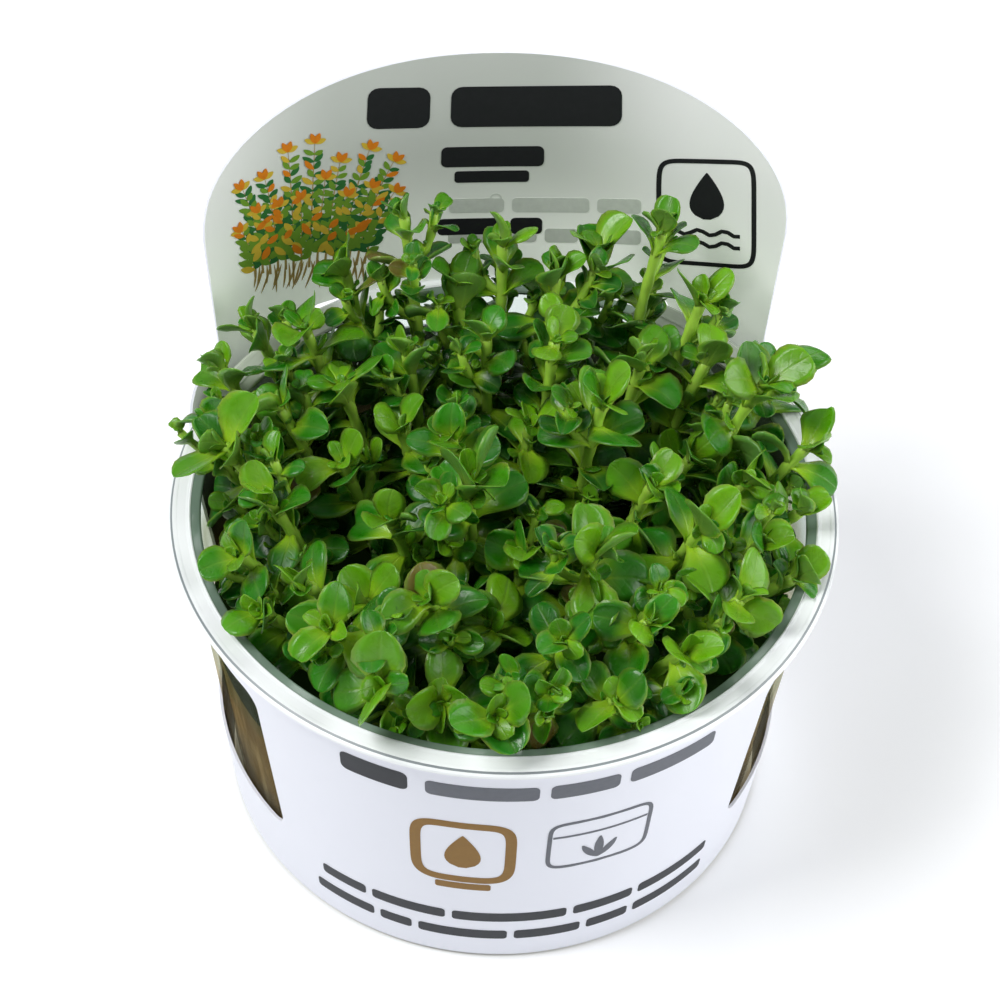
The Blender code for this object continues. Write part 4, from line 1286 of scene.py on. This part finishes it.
def stemSurface(shoot, rows, low, high):
    # a round tube up the stem's line, narrower towards the tip and swollen at its pairs of leaves
    line, ring = shoot["line"], foliage["stemRing"]
    share = np.linspace(0.0, 1.0, rows)
    middle = alongLine(line, np.linspace(0, 1, len(line)), share)
    growth = unit(np.gradient(middle, axis=0))
    first, second = stemSides(growth, shoot["turn"])
    depth = lengthsAlong(line)[-1] * (1 - share)[:, None] - np.array(shoot["depths"]) * mm
    bumps = np.exp(-(depth / foliage["knotLength"]) ** 2).sum(1)
    radius = low + (high - low) * share + foliage["knot"] * bumps
    around = np.arange(ring)[:, None] * 2 * pi / ring
    spoke = first[:, None] * np.cos(around) + second[:, None] * np.sin(around)
    points = middle[:, None] + radius[:, None, None] * spoke
    points = np.concatenate((points.reshape(-1, 3), middle[:1], middle[-1:] + growth[-1:] * high))
    height = np.clip((points[:, 2:] - gel["top"]) / foliage["stemFade"], 0, 1)
    tint = np.array(foliage["stemLow"][:3]) * (1 - height) + np.array(foliage["stem"][:3]) * height
    none = np.zeros(len(points))
    return newPart(points, rows, ring, none + 0.5, share, none, tint, 1)


def heartLeaves(chance, shoot):
    # the heart of a tip: crossed pairs of ever smaller leaves that stand nearly upright
    parts = []
    tip, growth = belowTip(shoot["line"], 0.0)
    growth = unit(growth + foliage["heartTilt"] * chance.normal(0, 1, 3))
    sides, (closed, more, usual) = stemSides(growth, shoot["turn"]), foliage["heartOpen"]
    for step, (share, angle) in enumerate(zip(foliage["heartLengths"], foliage["heartAngles"])):
        for side in (-1, 1):
            tilt = radians(angle * (closed + more * shoot["opened"] + chance.normal(0, usual)))
            parts.append(leafSurface(chance, tip, growth, side * sides[1 - step % 2], shoot["length"] * share,
                                     tilt, foliage["heartAge"], foliage["smallRows"]))
    return parts


def growShoot(chance, shoot):
    # a stem, the heart of its tip and its leaves, some of them with a small leaf in their axil
    sprig = shoot["parent"] is not None
    parts = [stemSurface(shoot, *foliage["stems"][sprig])] + heartLeaves(chance, shoot)
    older = chance.normal(0, foliage["shootAge"])
    inset, axilInset = foliage["rootInset"]
    for (pair, side), leaf in shoot["leaves"].items():
        root, growth, out, length, angle = [leaf[key] for key in ("root", "growth", "out", "length", "angle")]
        age = np.dot(foliage["tipAge"], (1, pair, shoot["opened"], sprig)) + older
        parts.append(leafSurface(chance, root - inset * out, growth, out, length + foliage["longer"],
                                 angle - foliage["rise"] * (pair < 2), age, foliage["rows"],
                                 foliage["oldShare"] * pair))
        if pair > 0 and chance.random() < foliage["axilShare"]:
            small = length * chance.uniform(*foliage["axilLength"])
            foot = root - axilInset * out + foliage["axilRise"] * growth
            parts.append(leafSurface(chance, foot, growth, out, small, angle * foliage["axilAngle"],
                                     foliage["axilAge"], foliage["smallRows"]))
    return parts


def leafSkin():
    # the leaf's own map gives a yellow-green root, a faint midrib, side veins and a paler edge, painted light
    # as if it came through the thin rim. The underside is paler and duller
    finish, shader = newFinish("leafSkin", foliage["leafShader"])
    tree = finish.node_tree
    leafMap = axesOf(addNode(tree, "UVMap", uv_map="leafMap").outputs["UV"])
    tint = addNode(tree, "Attribute", attribute_name="leafTint").outputs["Color"]
    under = addNode(tree, "Attribute", attribute_name="underside").outputs["Fac"]
    tone = mottled(tree, tint, *foliage["leafSpots"]).outputs
    along, aside = leafMap["Y"], times(sums("ABSOLUTE", sums("SUBTRACT", leafMap["X"], 0.5)), 2.0)
    rib = ramp(aside, *foliage["ribAside"])
    fast, back = foliage["veins"]
    wave = sums("SINE", sums("SUBTRACT", times(along, fast), times(aside, back)))
    edge = times(ramp(aside, *foliage["litEdgeAside"]), ramp(along, *foliage["litEdgeAlong"]))
    ribbed = times(rib, ramp(along, *foliage["ribAlong"]))
    pale = sums("ADD", ribbed, ramp(along, *foliage["rootFade"]), clamped=True)
    below = times(under, foliage["underShare"])
    feed(shader.inputs["Base Color"], covered(tone["Colour"], (edge, foliage["edge"]), (pale, foliage["rib"]),
                                              (below, foliage["under"])))
    rough = ramp(tone["Height"], *foliage["roughness"])
    feed(shader.inputs["Roughness"], sums("ADD", rough, times(under, foliage["underRoughness"])))
    lines = sums("ADD", rib, ramp(wave, *foliage["veinDepth"]))
    height = sums("ADD", times(lines, foliage["ribRelief"]), tone["Height"])
    raiseSurface(shader, height, foliage["leafRelief"])
    return finish


def stemSkin():
    finish, shader = newFinish("stemSkin", foliage["stemShader"])
    tint = addNode(finish.node_tree, "Attribute", attribute_name="leafTint").outputs["Color"]
    paint(shader, tint, *foliage["stemSpots"])
    return finish


def joinParts(name, parts, finishes, node):
    # the parts become one mesh inside the solids' box, with its map, tint and underside
    points, uv, tint, under = [np.concatenate([part[key] for part in parts])
                               for key in ("points", "uv", "tint", "under")]
    starts = np.cumsum([0] + [len(part["points"]) for part in parts])
    faces = [[corner + start for corner in face]
             for part, start in zip(parts, starts) for face in part["faces"]]
    piece = newPiece(name, np.clip(points, *np.array(solidBox)), faces, finishes, [node])
    mesh = piece.data
    finish = np.repeat([part["finish"] for part in parts], [len(part["faces"]) for part in parts])
    mesh.polygons.foreach_set("material_index", finish)
    corners = np.empty(len(mesh.loops), np.int32)
    mesh.loops.foreach_get("vertex_index", corners)
    mesh.uv_layers.new(name="leafMap").data.foreach_set("uv", uv[corners].ravel())
    tint = np.append(tint, np.ones((len(tint), 1)), 1)
    mesh.attributes.new("leafTint", "FLOAT_COLOR", "POINT").data.foreach_set("color", tint.ravel())
    mesh.attributes.new("underside", "FLOAT", "POINT").data.foreach_set("value", under)


def growPlant():
    chance = np.random.default_rng(foliage["seed"])
    finishes = [leafSkin(), stemSkin()]
    shoots, sprigs = planPlant(chance)
    print("leaves planned:", sum(len(shoot["leaves"]) for shoot in shoots), "on shoots and",
          sum(len(sprig["leaves"]) for sprig in sprigs), "on", len(sprigs), "sprigs")
    for number, shoot in enumerate(shoots):
        grown = [shoot] + [sprig for sprig in sprigs if sprig["parent"] == number]
        parts = [part for stem in grown for part in growShoot(chance, stem)]
        joinParts(f"leafyShoot{number + 1:02d}", parts, finishes, f"shoot_{number + 1:02d}")


growPlant()
print("the shoots are grown")
